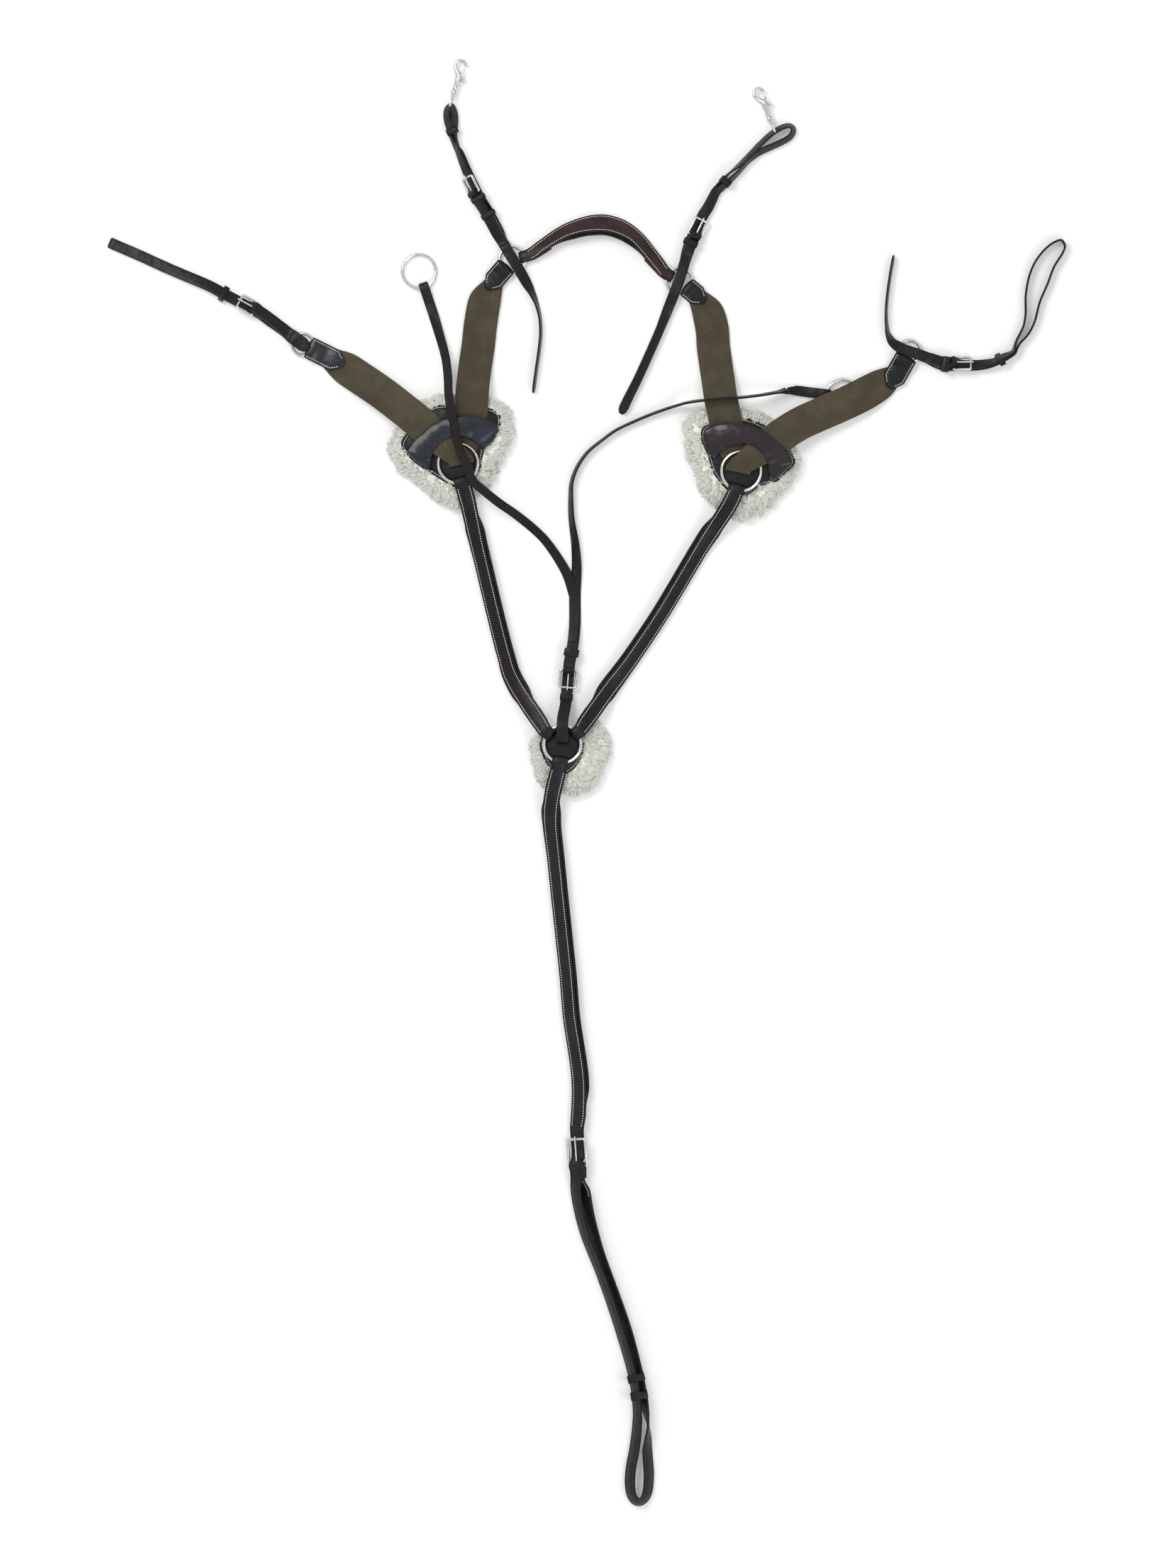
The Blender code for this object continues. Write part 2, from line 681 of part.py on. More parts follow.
def add_tongue(name, seat, bar, length, parent):
    """The tongue: an eye round the rear bar and an arm that rests on the front bar."""
    radius = bar + GAP + TONGUE
    points = []
    for turn in range(-30, -271, -40):
        way = heading(turn)
        points.append(seat.at(radius * way.x, 0, radius * way.y))
    points += [seat.at(length * 0.5, 0, radius), seat.at(length + 2, 0, radius), seat.at(length + 3.6, 0, radius - 0.4)]
    bm = wire_mesh(points, seat.across, TONGUE, closed=False)
    return add_object(name, bm, "steel", origin=seat.place, parent=parent)


def prism(seat, outline, low, high):
    """A solid of an outline of (along, up) points, from low to high across the seat."""
    bm = bmesh.new()
    ends = [[bm.verts.new(seat.at(x, y, z)) for x, z in outline] for y in (low, high)]
    count = len(outline)
    for i in range(count):
        j = (i + 1) % count
        bm.faces.new((ends[0][i], ends[0][j], ends[1][j], ends[1][i]))
    bm.faces.new(ends[0])
    bm.faces.new(ends[1])
    return bm


def helper(name, bm):
    made = add_object(name, bm, "steel")
    made.hide_render = True
    made.display_type = "WIRE"
    return made


def boolean(obj, other, operation):
    change = obj.modifiers.new(operation.title(), "BOOLEAN")
    change.operation = operation
    change.object = other


def tongue_slot(name, seat, bar, thick):
    """A cutter for the slot in the strap round the rear bar and the hole that the tongue comes through."""
    fold = bar + GAP + thick
    outline = [(-fold - 0.5, -fold - 0.1), (fold + 4.2, -fold - 0.1), (fold + 4.2, fold + 4.5), (1.2, fold + 4.5)]
    outline += [(1.2, fold + 0.1), (-fold - 0.5, fold + 0.1)]
    return helper(name + "_slot", prism(seat, outline, -TONGUE_SLOT / 2, TONGUE_SLOT / 2))


def trunk_length_to(trunk, x, y):
    """How far along the trunk it passes a point on the surface."""
    far = lengths(trunk)
    gaps = [(Vector((s.place.x - x, s.place.y - y)).length, at) for s, at in zip(trunk, far)]
    return min(gaps)[1]


def straight(x, y, degrees, z, roll, reach=28.0):
    """Trunk points through a buckle: its rear bar at (x, y), with its front bar that many degrees away."""
    way = heading(degrees)
    return [(x + way.x * d, y + way.y * d, z, roll) for d in (-8, 0, 12, reach)]


def place_all(route):
    return [(Vector((x, y, z)), roll) for x, y, z, roll in route]


# Straps with a buckle, each from its ring. Routes are (x, y, height, roll) of the level of the buckle's bars,
# loops the same for the strap's own middle, and tails (x, y, clearance, roll). A keeper lies that far past the
# buckle's front bar.
BUCKLED = {
    "left_flank": {
        "ring": (FLANK["left"], FLANK_RING), "direction": 143.0,
        "bar": (-368, 521), "route": [(-334, 497, 9, 12), (-350, 509, BUCKLE_Z, 22),
                                      *straight(-368, 521, 151, BUCKLE_Z, 22),
                                      (-405, 541, BUCKLE_Z, 22), (-424, 551, BUCKLE_Z, 18), (-470, 570, 9, 10),
                                      (-506, 586, 8, 6), (-541, 601, 7.6, 4)],
        "loop": [], "tail": [], "keeper_clear": 21.1,
    },
    "right_flank": {
        "ring": (FLANK["right"], FLANK_RING), "direction": -20.0,
        "bar": (468, 456), "route": [(449, 459, 11, -31), *straight(468, 456, 1, BUCKLE_Z, -35), (506, 458, 13, -43),
                                     (516, 461, 13, -58), (523, 464.3, 12.8, -60), (530, 468.2, 11.6, -61),
                                     (539, 474, 9.5, -80)],
        "loop": [(548, 480, 7.5, -90), (558, 491, 7, -90), (566, 507, 7, -90), (572, 530, 7, -90),
                 (581, 551, 7, -90), (589, 572, 7, -90), (599, 588, 7, -90), (602, 597, 7, -90), (598, 604, 7, -90),
                 (590, 602, 7, -90), (579, 594, 7, -90), (567, 579, 7, -90), (559, 560, 7, -90), (555, 537, 7, -90),
                 (555, 517, 7, -90), (552, 500, 7, -90), (544, 484, 7, -92)],
        "tail": [(402, 476.5, 9.6, 10), (395, 482, 8, 40), (390, 492, 3, 66), (388.5, 503, 0.8, 74),
                 (388, 517, 0.8, 75), (390, 542, 0.8, 75), (394, 569, 0.8, 72), (397, 586, 0.8, 70)],
        "keeper_clear": 35.3,
    },
    "left_snap": {
        "ring": (WITHER["left"], WITHER_RING), "direction": 119.0,
        "bar": (-105, 660), "route": [(-77, 611, 11, -25), (-92, 638, BUCKLE_Z, -50),
                                      *straight(-105, 660, 116, BUCKLE_Z, -50), (-127, 708, BUCKLE_Z, -65)],
        "loop": [(-127, 727, SNAP_Z, -85), (-125.5, 743, SNAP_Z, -90), (-125.5, 756, SNAP_Z, -90),
                 (-128.5, 764, SNAP_Z, -90), (-133, 769, SNAP_Z, -90), (-138.5, 767, SNAP_Z, -90),
                 (-142.5, 758, SNAP_Z, -90), (-141.5, 746, SNAP_Z, -90), (-136.5, 732, SNAP_Z, -95)],
        "tail": [(-47, 560, 9, -10), (-42, 551, 5, -30), (-37, 542, 0.8, -50), (-31, 528, 0.8, -60), (-27, 511, 0.8, -60),
                 (-26, 494, 0.8, -60), (-28, 472, 0.8, -60), (-31, 451, 0.8, -58), (-35, 421, 0.8, -55)],
    },
    "right_snap": {
        "ring": (WITHER["right"], WITHER_RING), "direction": 74.0,
        "bar": (158, 609), "route": [(149, 586, 11, 12), *straight(158, 609, 64, BUCKLE_Z, 22),
                                     (176, 642, BUCKLE_Z, 30), (187, 661, BUCKLE_Z, 50)],
        "loop": [(197, 681, SNAP_Z, 80), (209, 693, SNAP_Z, 90), (229, 715, SNAP_Z, 90), (248, 733.5, SNAP_Z, 90),
                 (262, 742, SNAP_Z, 90), (271, 745, SNAP_Z, 90), (278, 742, SNAP_Z, 90), (280, 734, SNAP_Z, 90),
                 (275, 725, SNAP_Z, 90), (258, 716, SNAP_Z, 90), (238, 707, SNAP_Z, 90), (223, 697, SNAP_Z, 92),
                 (208, 682, SNAP_Z, 105)],
        "tail": [(133, 538, 9, 5), (127, 523, 3, 20), (118, 500, 0.8, 40), (105, 470, 0.8, 40), (90, 437, 0.8, 40),
                 (77, 411, 0.8, 35), (70, 396, 0.8, 25)],
    },
}


def build_buckled_strap(key):
    """One long strap. From its stitched tip round the buckle's rear bar it runs back to the ring, round the ring,
    out under itself to the far loop, and home through the buckle and over the ring."""
    spec = BUCKLED[key]
    ring, radius = spec["ring"]
    width, thick, bar = NARROW_WIDTH, NARROW_THICK, NARROW_BAR
    out = heading(spec["direction"])
    slot = radius + WIRE + 1.2
    rise = WIRE + GAP + thick / 2
    lead = [(ring + out * far, 0) for far in (0, slot / 2, slot, slot + 5)]
    trunk = run([*lead, *place_all(spec["route"])], width, thick, spacing=9)
    at = trunk_length_to(trunk, *spec["bar"])
    end = lengths(trunk)[-1]
    inside = math.sqrt((radius - WIRE) ** 2 - (width / 2) ** 2) + WIRE
    turn = bar + GAP + thick / 2
    under = -turn - NARROW_PITCH
    chape = strand(trunk, [(at - 14, -turn), (at, -turn)], width, thick)
    middle = [(at, turn), (at - 6, turn - 2.9), (slot + 12, turn - 2.9), (slot, rise), (inside, rise)]
    lower = [(inside, -rise), (slot, -rise), (slot + 12, under), (end, under)]
    upper = [(end, -turn), (at + 14, -turn), (at + 9.5, -turn + 1.4), (at + 4.3, turn + 0.1), (at + 2.8, turn + 1.9)]
    upper += [(at, turn + 2.9), (at - 6, turn), (slot + 12, turn), (slot, rise + 2.8), (inside - 3, rise + 2.8)]
    stations = chape + bend(trunk, at, 0, turn, 1, width, thick)
    stations += strand(trunk, middle, width, thick)
    stations += bend(trunk, inside, 0, rise, -1, width, thick)[::-1]
    stations += strand(trunk, lower, width, thick)
    home = strand(trunk, upper, width, thick)
    if spec["loop"]:
        start = [(stations[-1].place, trunk_roll(spec))]
        finish = [(home[0].place, math.copysign(180, trunk_roll(spec)) - trunk_roll(spec))]
        far = run(start + place_all(spec["loop"]) + finish, width, thick, spacing=8)
        stations += far[1:-1]
    else:
        stations += bend(trunk, end, (under - turn) / 2, (-turn - under) / 2, 1, width, thick)
    stations += home
    if spec["tail"]:
        tail = run([(home[-1].place, 0), *laid(spec["tail"], width, thick / 2)], width, thick, spacing=20)
        stations += pointed(tail)[1:]
    else:
        stations = stations[:-1] + pointed(strand(trunk, [(inside - 3, rise + 2.8), (-9, rise + 2.8)], width, thick))
    strap = add_band(key + "_strap", stations, "leather", origin=ring)
    seat = seat_at(trunk, at, 0, 1)
    boolean(strap, tongue_slot(key, seat, bar, thick), "DIFFERENCE")
    buckle = add_buckle(key + "_buckle", seat, width, bar, NARROW_BUCKLE, strap)
    add_tongue(key + "_buckle_tongue", seat, bar, NARROW_BUCKLE, buckle)
    if "flank" in key:
        station = at_length(trunk, at + NARROW_BUCKLE + spec["keeper_clear"])
        low = under - thick / 2 - GAP
        high = -turn + thick / 2 + GAP
        add_object(key + "_keeper", sleeve_mesh(replace(station, half=width / 2 + 0.3), low - 0.2, high + 0.2, 7), "leather",
                   origin=station.place, parent=strap)
    return strap


def trunk_roll(spec):
    return spec["route"][-1][3]


# Swivel snaps: the middle of the swivel, and the way from it to the hook
SNAP = {"left": (Vector((-130.3, 781.2, SNAP_Z)), 75.3), "right": (Vector((248, 749.2, SNAP_Z)), 112.4)}
EYE_WIRE = 1.4
EYE_LENGTH = 17.0
EYE_HALF = 8.4
POST = 1.5
BOLT = 1.2
BOLT_SIDE = 5.0
BOLT_PULL = 6.0
EYE_SHAPE = [(-EYE_LENGTH, EYE_HALF), (-10, 8.2), (-4.5, 5.4), (-0.5, 2.7), (0, 0), (-0.5, -2.7), (-4.5, -5.4),
             (-10, -8.2), (-EYE_LENGTH, -EYE_HALF)]
HOOK_SHAPE = [(-6.2, 0, 1.6), (-5.6, 0, 2.4), (-3.6, 0, 2.4), (-3.2, 0, POST), (2.9, 0, POST), (3.4, 0, 2.7),
              (9, 0.8, 3.2), (15, 1.1, 4.0), (20, 1.4, 4.2), (24.5, -2.0, 3.0), (28.5, -5.0, 2.3), (32.5, -6.3, 2.1),
              (36.3, -4.9, 2.1), (38.6, -1.7, 2.1), (38.7, 1.9, 2.1), (36.6, 4.7, 2.0), (33.6, 5.7, 1.8)]


def rod_mesh(points, radii, normal, sides=8):
    """A round rod of changing radius bent in one plane."""
    bm = bmesh.new()
    rings = []
    for i, (point, radius) in enumerate(zip(points, radii)):
        way = points[min(i + 1, len(points) - 1)] - points[max(i - 1, 0)]
        side = way.normalized().cross(normal).normalized()
        turns = [2 * math.pi * (j + 0.5) / sides for j in range(sides)]
        rings.append([bm.verts.new(point + radius * (side * math.cos(t) + normal * math.sin(t))) for t in turns])
    for here, there in zip(rings, rings[1:]):
        for j in range(sides):
            bm.faces.new((here[j], here[(j + 1) % sides], there[(j + 1) % sides], there[j]))
    bm.faces.new(rings[0])
    bm.faces.new(rings[-1])
    return bm


def build_snap(side, strap):
    """The eye in the strap's loop, the hook that turns in it, and the hook's sliding bolt."""
    center, degrees = SNAP[side]
    along = heading(degrees)
    seat = Seat(center, along, Vector((along.y, -along.x, 0)), UP)
    name = f"{side}_snap"
    loop = [seat.at(x, 0, z) for x, z in EYE_SHAPE]
    eye = add_object(name + "_eye", wire_mesh(loop, seat.across, EYE_WIRE), "steel",
                     origin=seat.at(-EYE_LENGTH, 0, 0), parent=strap)
    collar = rod_mesh([seat.at(-2.6, 0, 0), seat.at(2.4, 0, 0)], [3.6, 3.6], UP)
    boolean(eye, helper(name + "_collar", collar), "UNION")
    bore = rod_mesh([seat.at(-3.1, 0, 0), seat.at(3.1, 0, 0)], [POST + 0.45] * 2, UP)
    boolean(eye, helper(name + "_bore", bore), "DIFFERENCE")
    points = [seat.at(x, y, 0) for x, y, _ in HOOK_SHAPE]
    hook = add_object(name + "_hook", rod_mesh(points, [r for _, _, r in HOOK_SHAPE], UP), "steel",
                      origin=center, parent=eye)
    groove = rod_mesh([seat.at(4.0, BOLT_SIDE, 0), seat.at(31.2, BOLT_SIDE, 0)], [BOLT + 0.35] * 2, UP)
    boolean(hook, helper(name + "_groove", groove), "DIFFERENCE")
    bolt = rod_mesh([seat.at(13, BOLT_SIDE, 0), seat.at(31.0, BOLT_SIDE, 0)], [BOLT] * 2, UP)
    gate = add_object(name + "_gate", bolt, "steel", origin=seat.at(20, BOLT_SIDE, 0), parent=hook)
    knob = [seat.at(16.5, y, 0) for y in (BOLT_SIDE, BOLT_SIDE + 2, BOLT_SIDE + 2.6, BOLT_SIDE + 4.4, BOLT_SIDE + 4.8)]
    boolean(gate, helper(name + "_knob", rod_mesh(knob, [0.9, 0.9, 2.0, 2.0, 1.4], UP)), "UNION")


# The girth strap, from the chest ring to the loop for the girth
GIRTH_DIRECTION = 262.0
GIRTH_ROUTE = [(-11, -56, 19.5, 0), (-14, -76, 13, 10), (-14, -98, 2, 26), (-10, -134, FLOOR, 32),
               (-5, -183, FLOOR, 33), (0, -230, FLOOR, 34), (5, -278, FLOOR, 34), (9, -326, FLOOR, 34),
               (15, -366, FLOOR, 34), (19, -395, FLOOR, 32), (20, -420, FLOOR, 30), (19, -445, 2, 28)]
GIRTH_BAR = (20.2, -505)
GIRTH_Z = 10.5
GIRTH_LOOP = [(16, -533, 11, 50), (20, -560, 11, 55), (28, -590, 11, 58), (45, -633, 11.5, 62), (61, -678, 11.5, 66),
              (75, -723, 12, 74), (83, -752, 12, 84), (88, -778, 12, 90), (89, -803, 12, 90), (84, -830, 12, 90),
              (78, -858, 12, 90), (75, -884, 12, 90), (79, -903, 12, 90), (93, -912, 12, 90), (105, -902, 12, 90),
              (109, -882, 12, 90), (108, -858, 12, 90), (105, -830, 12, 90), (100, -803, 12, 90), (96, -778, 12, 92),
              (91, -752, 12, 98), (78, -702, 11.5, 108), (62, -656, 11.5, 114), (45, -609, 11, 120),
              (32, -563, 11, 128), (26.5, -536, 11, 136)]
GIRTH_KEEPERS = {"upper": (88.3, -759, 75), "lower": (91.9, -780, 80)}


def build_girth():
    width, thick, bar = BILLET_WIDTH, STRAP_THICK, WIDE_BAR
    turn_a, top, slot_top, rise = ring_end(CHEST, CHEST_RING, GIRTH_DIRECTION, STRAP_WIDTH - 1, thick)
    points = laid(GIRTH_ROUTE, STRAP_WIDTH + 2 * LINING_OVERHANG, PAD_DEPTH)
    x, y = GIRTH_BAR
    ends = [(x - 2.9, y + 42, GIRTH_Z, 28), (x - 2.2, y + 32, GIRTH_Z, 28), (x - 1.1, y + 16, GIRTH_Z, 28),
            (x, y, GIRTH_Z, 28), (x + 0.7, y - 10, GIRTH_Z, 32), (x + 1.1, y - 16, GIRTH_Z, 38)]
    trunk = run([(top, 0), (slot_top, 0), *points, *place_all(ends)], width, thick, spacing=15)
    at = trunk_length_to(trunk, x, y)
    end = lengths(trunk)[-1]
    turn = bar + GAP + thick / 2
    over = turn * 2 + thick + GAP + 0.1
    main = part_of(trunk, 0, at - 42)
    main = shaped(main, [(0, STRAP_WIDTH - 1), (20, STRAP_WIDTH), (at - 60, STRAP_WIDTH), (at - 42, width)])
    head = turned_back(main, rise, (slot_top - top).length, TURN_BACK, thick)
    upper = [(at - 36, 0), (at - 15, 0), (at - 10, 1.6), (at - 5.2, turn * 2), (at - 3.2, over - 1.2), (at, over)]
    upper += [(at + 7, turn * 2 + 0.5), (end, turn * 2 + 0.5)]
    lower = [(end, turn - 0.1), (at + 7, turn - 0.1), (at, turn * 2)]
    down = strand(trunk, upper, width, thick)
    back = strand(trunk, lower, width, thick)
    far = run([(down[-1].place, 38), *place_all(GIRTH_LOOP), (back[0].place, 142)], width, thick, spacing=15)
    stations = head + turn_a[1:-1] + main + down + far[1:-1] + back
    stations += bend(trunk, at, turn, turn, -1, width, thick)[::-1]
    stations += strand(trunk, [(at, 0), (at + 15, 0)], width, thick)
    strap = add_band("girth_strap", stations, "leather", origin=CHEST)
    add_padding("girth_strap_lining", main, TURN_BACK + 2, at - 66, origin=CHEST, parent=strap)
    seat = seat_at(trunk, at, turn, -1)
    boolean(strap, tongue_slot("girth", seat, bar, thick), "DIFFERENCE")
    buckle = add_buckle("girth_buckle", seat, width, bar, WIDE_BUCKLE, strap)
    add_tongue("girth_buckle_tongue", seat, bar, WIDE_BUCKLE, buckle)
    for name, (x, y, degrees) in GIRTH_KEEPERS.items():
        way = heading(-degrees)
        middle = Vector((x, y, 12))
        station = Station(middle, Vector((way.y, -way.x, 0)), UP, 8.5, thick / 2)
        add_object(f"girth_keeper_{name}", sleeve_mesh(station, -9.6, 9.6), "leather", origin=middle, parent=strap)


# The running martingale: its two branches, from the rings to where they join, and the strap from there to the chest
MARTINGALE_TRUNK = [(16, 194, 1.6, 0), (15, 182, 1.6, 0), (15, 165, 1.6, 0), (15, 148, 3, 0), (14, 132, 8, 0),
                    (12, 116, 11, 0)]
MARTINGALE_BAR = (7.6, 89)
MARTINGALE_HEADING = 265.0
MARTINGALE_END = [(3.5, 46, 18.5, 0), (1, 34, 25.3, 0), (0, 24, 28.2, 0), (0, 14, 28.2, 0), (0, 0, 28.2, 0)]
LEFT_BRANCH = [(-151, 503, FLOOR, 20), (-146, 486, FLOOR, 30), (-140, 463, 9, 35),
               (-137, 439, 20, 35), (-136, 418, 28, 35), (-133, 398, 34, 35), (-128, 373, 34.4, 35),
               (-122, 350, 34.4, 35), (-114, 332, 34.4, 35), (-107, 315, 34.2, 35), (-94, 303, 32, 35),
               (-75, 288, 24, 35), (-60, 278, 14, 35), (-44, 266, 4, 35), (-23, 247, FLOOR, 35), (-6, 224, FLOOR, 30),
               (5, 205, FLOOR, 15), (12, 190, 0.5, 0), (15, 172, 0.5, 0)]
RIGHT_BRANCH = [(260, 422, 8, 76), (238, 418, 18, 80), (215, 415, 23, 80),
                (190, 413, 24, 80), (165, 411, 23.5, 80), (150, 409, 17, 80), (129, 403.5, 3, 80), (100, 393, FLOOR, 80),
                (65, 377, FLOOR, 80), (48, 365, FLOOR, 80), (30, 350, FLOOR, 78), (18, 333, FLOOR, 76),
                (11, 314, FLOOR, 74), (10, 295, FLOOR, 68), (11, 269, FLOOR, 60), (15, 243, FLOOR, 45),
                (17, 217, FLOOR, 22)]
BRANCH_WIDTH = 12.0
REIN_END = {"left": 288.4, "right": 173.0}


def rein_end(side):
    """The end of a martingale branch: its turned-back tip, the eye round the ring, and the top of the eye."""
    out = heading(REIN_END[side])
    center = REIN[side] + out * (REIN_RING - REIN_BOW)
    thick = NARROW_THICK
    turn = fold(center, out, REIN_RISE, BRANCH_WIDTH, thick)
    top = center + UP * REIN_RISE
    past = center + out * (WIRE + REIN_BOW + 2)
    tip = []
    for far in (27, 14, 0):
        tip.append(replace(turn[0], place=past + out * far - UP * REIN_RISE))
    seam = past + out * 14 + UP * (thick + GAP - REIN_RISE)
    return tip, turn, [(top, 0), (past + UP * REIN_RISE, 0), (seam, 0), (seam + out * 18, 0)]


def build_martingale():
    width, thick, bar = NARROW_WIDTH + 1, NARROW_THICK, NARROW_BAR
    route = [*MARTINGALE_TRUNK, *straight(*MARTINGALE_BAR, MARTINGALE_HEADING, 11, 0, 30.0), *MARTINGALE_END]
    trunk = run(place_all(route), width, thick, spacing=9)
    at = trunk_length_to(trunk, *MARTINGALE_BAR)
    end = lengths(trunk)[-1]
    turn = bar + GAP + thick / 2
    under = -turn - NARROW_PITCH
    tip, fold_turn, lead = rein_end("right")
    right = run([*lead, *laid(RIGHT_BRANCH, BRANCH_WIDTH, thick / 2), (trunk[0].place, 0)], BRANCH_WIDTH, thick)
    body = strand(trunk, [(0, -0.1), (at - 6, -0.1), (at, turn)], width, thick)
    body += bend(trunk, at, 0, turn, 1, width, thick)[::-1] + strand(trunk, [(at, -turn), (at - 14, -turn)], width, thick)
    fork = add_band("martingale_fork", tip + fold_turn + right[1:-1] + body, "leather", origin=CHEST)
    tip, fold_turn, lead = rein_end("left")
    left = run([*lead, *laid(LEFT_BRANCH, BRANCH_WIDTH, thick / 2)], BRANCH_WIDTH, thick)
    boolean(fork, helper("left_branch", band_mesh(tip + fold_turn + left[1:])), "UNION")
    upper_end = REIN_LOOP_LIFT
    lower = [(at - 28, under), (end - 7, under)]
    upper = [(end - 7, upper_end), (end - 24, upper_end), (at + 30, -turn), (at + 14, -turn), (at + 9.5, -turn + 1.4)]
    upper += [(at + 4.3, turn + 0.1), (at + 2.8, turn + 1.9), (at, turn + 2.9), (at - 6, turn), (at - 34, turn)]
    middle = (under + upper_end) / 2
    stations = strand(trunk, lower, width, thick)
    stations += bend(trunk, end - 7, middle, upper_end - middle, 1, width, thick)
    stations += pointed(strand(trunk, upper, width, thick), 6)
    billet = add_band("martingale_billet", stations, "leather", origin=CHEST, parent=fork)
    seat = seat_at(trunk, at, 0, 1)
    slot = tongue_slot("martingale", seat, bar, thick)
    boolean(fork, slot, "DIFFERENCE")
    boolean(billet, slot, "DIFFERENCE")
    buckle = add_buckle("martingale_buckle", seat, width, bar, NARROW_BUCKLE, fork)
    add_tongue("martingale_buckle_tongue", seat, bar, NARROW_BUCKLE, buckle)
    station = replace(at_length(trunk, at - 21), half=width / 2)
    sleeve = sleeve_mesh(station, under - thick / 2 - GAP, turn + thick / 2 + GAP)
    add_object("martingale_keeper", sleeve, "leather", origin=station.place, parent=fork)
    for side in ("left", "right"):
        add_ring(f"{side}_martingale_ring", REIN[side], REIN_RING)


# How far over the level of the bars the martingale's strap comes back from the chest ring
REIN_LOOP_LIFT = 4.9
FINISH = {}


def build():
    clear_scene()
    FINISH.update(make_finishes())
    add_ring("chest_ring", CHEST, CHEST_RING, count=22)
    build_pad("chest_pad", CHEST, "chest")
    for side in ("left", "right"):
        build_pad(f"{side}_side_pad", SIDE[side], side)
        add_ring(f"{side}_side_ring", SIDE[side], SIDE_RING, count=22)
        add_ring(f"{side}_wither_ring", WITHER[side], WITHER_RING)
        add_ring(f"{side}_flank_ring", FLANK[side], FLANK_RING)
        build_arch(side)
        build_elastic(side)
        build_tab(side, "flank", FLANK[side], FLANK_RING)
        build_tab(side, "wither", WITHER[side], WITHER_RING)
        build_padded_strap(f"{side}_chest_strap", (SIDE[side], SIDE_RING, SIDE_END[side], STRAP_WIDTH),
                           (CHEST, CHEST_RING, CHEST_END[side], CHEST_END_WIDTH), CHEST_ROUTE[side], STRAP_WIDTH,
                           "leather")
        build_buckled_strap(f"{side}_flank")
        build_snap(side, build_buckled_strap(f"{side}_snap"))
    build_padded_strap("wither_strap", (WITHER["left"], WITHER_RING, 14.0, WITHER_END_WIDTH),
                       (WITHER["right"], WITHER_RING, 150.0, WITHER_END_WIDTH), WITHER_ROUTE, WITHER_MIDDLE_WIDTH,
                       "brown")
    build_girth()
    build_martingale()


build()
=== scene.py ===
# %% [markdown]
# # A five-point breastplate, laid out flat
#
# The breastplate holds a saddle forward on the horse. It has three sheepskin pads, padded leather straps
# between stainless rings, two bands of wide elastic, a strap for the girth, a running martingale and two
# swivel snaps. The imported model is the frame: every new piece takes its place from one of its solids and
# moves with its body.

import bisect
import itertools
import json
import math
import random
from collections import namedtuple

import bmesh
import bpy
from mathutils import Matrix, Vector, geometry, noise
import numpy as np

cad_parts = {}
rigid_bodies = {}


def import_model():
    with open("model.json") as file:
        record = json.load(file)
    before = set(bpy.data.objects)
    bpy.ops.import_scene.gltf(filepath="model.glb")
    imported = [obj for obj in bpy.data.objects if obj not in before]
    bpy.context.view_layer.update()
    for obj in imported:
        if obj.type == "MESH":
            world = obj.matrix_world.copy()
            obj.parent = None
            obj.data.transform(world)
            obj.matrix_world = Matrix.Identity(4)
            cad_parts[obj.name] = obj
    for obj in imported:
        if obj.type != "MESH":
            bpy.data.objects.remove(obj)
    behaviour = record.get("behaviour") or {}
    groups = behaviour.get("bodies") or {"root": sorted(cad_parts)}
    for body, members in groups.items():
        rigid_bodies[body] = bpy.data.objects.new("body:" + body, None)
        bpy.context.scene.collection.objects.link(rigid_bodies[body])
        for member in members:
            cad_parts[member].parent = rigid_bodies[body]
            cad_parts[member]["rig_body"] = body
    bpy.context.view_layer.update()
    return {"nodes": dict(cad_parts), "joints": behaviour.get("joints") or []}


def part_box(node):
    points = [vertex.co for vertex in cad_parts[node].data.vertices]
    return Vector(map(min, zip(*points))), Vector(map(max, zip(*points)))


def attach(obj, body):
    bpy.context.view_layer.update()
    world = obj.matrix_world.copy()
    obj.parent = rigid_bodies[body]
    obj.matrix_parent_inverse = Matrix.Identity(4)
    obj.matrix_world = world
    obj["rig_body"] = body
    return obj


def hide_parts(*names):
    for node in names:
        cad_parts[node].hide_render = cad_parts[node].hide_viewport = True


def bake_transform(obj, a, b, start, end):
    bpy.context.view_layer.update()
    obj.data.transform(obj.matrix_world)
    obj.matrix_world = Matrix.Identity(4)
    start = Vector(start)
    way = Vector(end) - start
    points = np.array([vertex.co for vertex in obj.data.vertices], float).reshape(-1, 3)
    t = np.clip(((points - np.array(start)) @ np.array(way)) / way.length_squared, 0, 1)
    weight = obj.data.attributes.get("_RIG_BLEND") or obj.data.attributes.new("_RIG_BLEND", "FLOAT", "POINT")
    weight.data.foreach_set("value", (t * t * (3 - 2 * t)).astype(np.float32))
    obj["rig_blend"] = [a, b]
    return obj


for startup_object in list(bpy.data.objects):
    bpy.data.objects.remove(startup_object, do_unlink=True)
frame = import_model()
nodes = frame["nodes"]
MM = 0.001
UP = Vector((0, 0, 1))

# %% [markdown]
# ## Finishes
#
# Each finish is a small tree of nodes. One function adds a node with its settings and its links, and one
# turns an sRGB hex value to the linear colour that the shader wants. Patterns read Object coordinates in
# metres, so their scales come from real sizes: a Noise of scale 1000 has features of about a millimetre.

# %% Colour and node helpers
def linear(hex_colour):
    """A linear RGBA colour from an sRGB hex value."""
    channels = [int(hex_colour[i : i + 2], 16) / 255 for i in (1, 3, 5)]
    return tuple(c / 12.92 if c <= 0.04045 else ((c + 0.055) / 1.055) ** 2.4 for c in channels) + (1.0,)


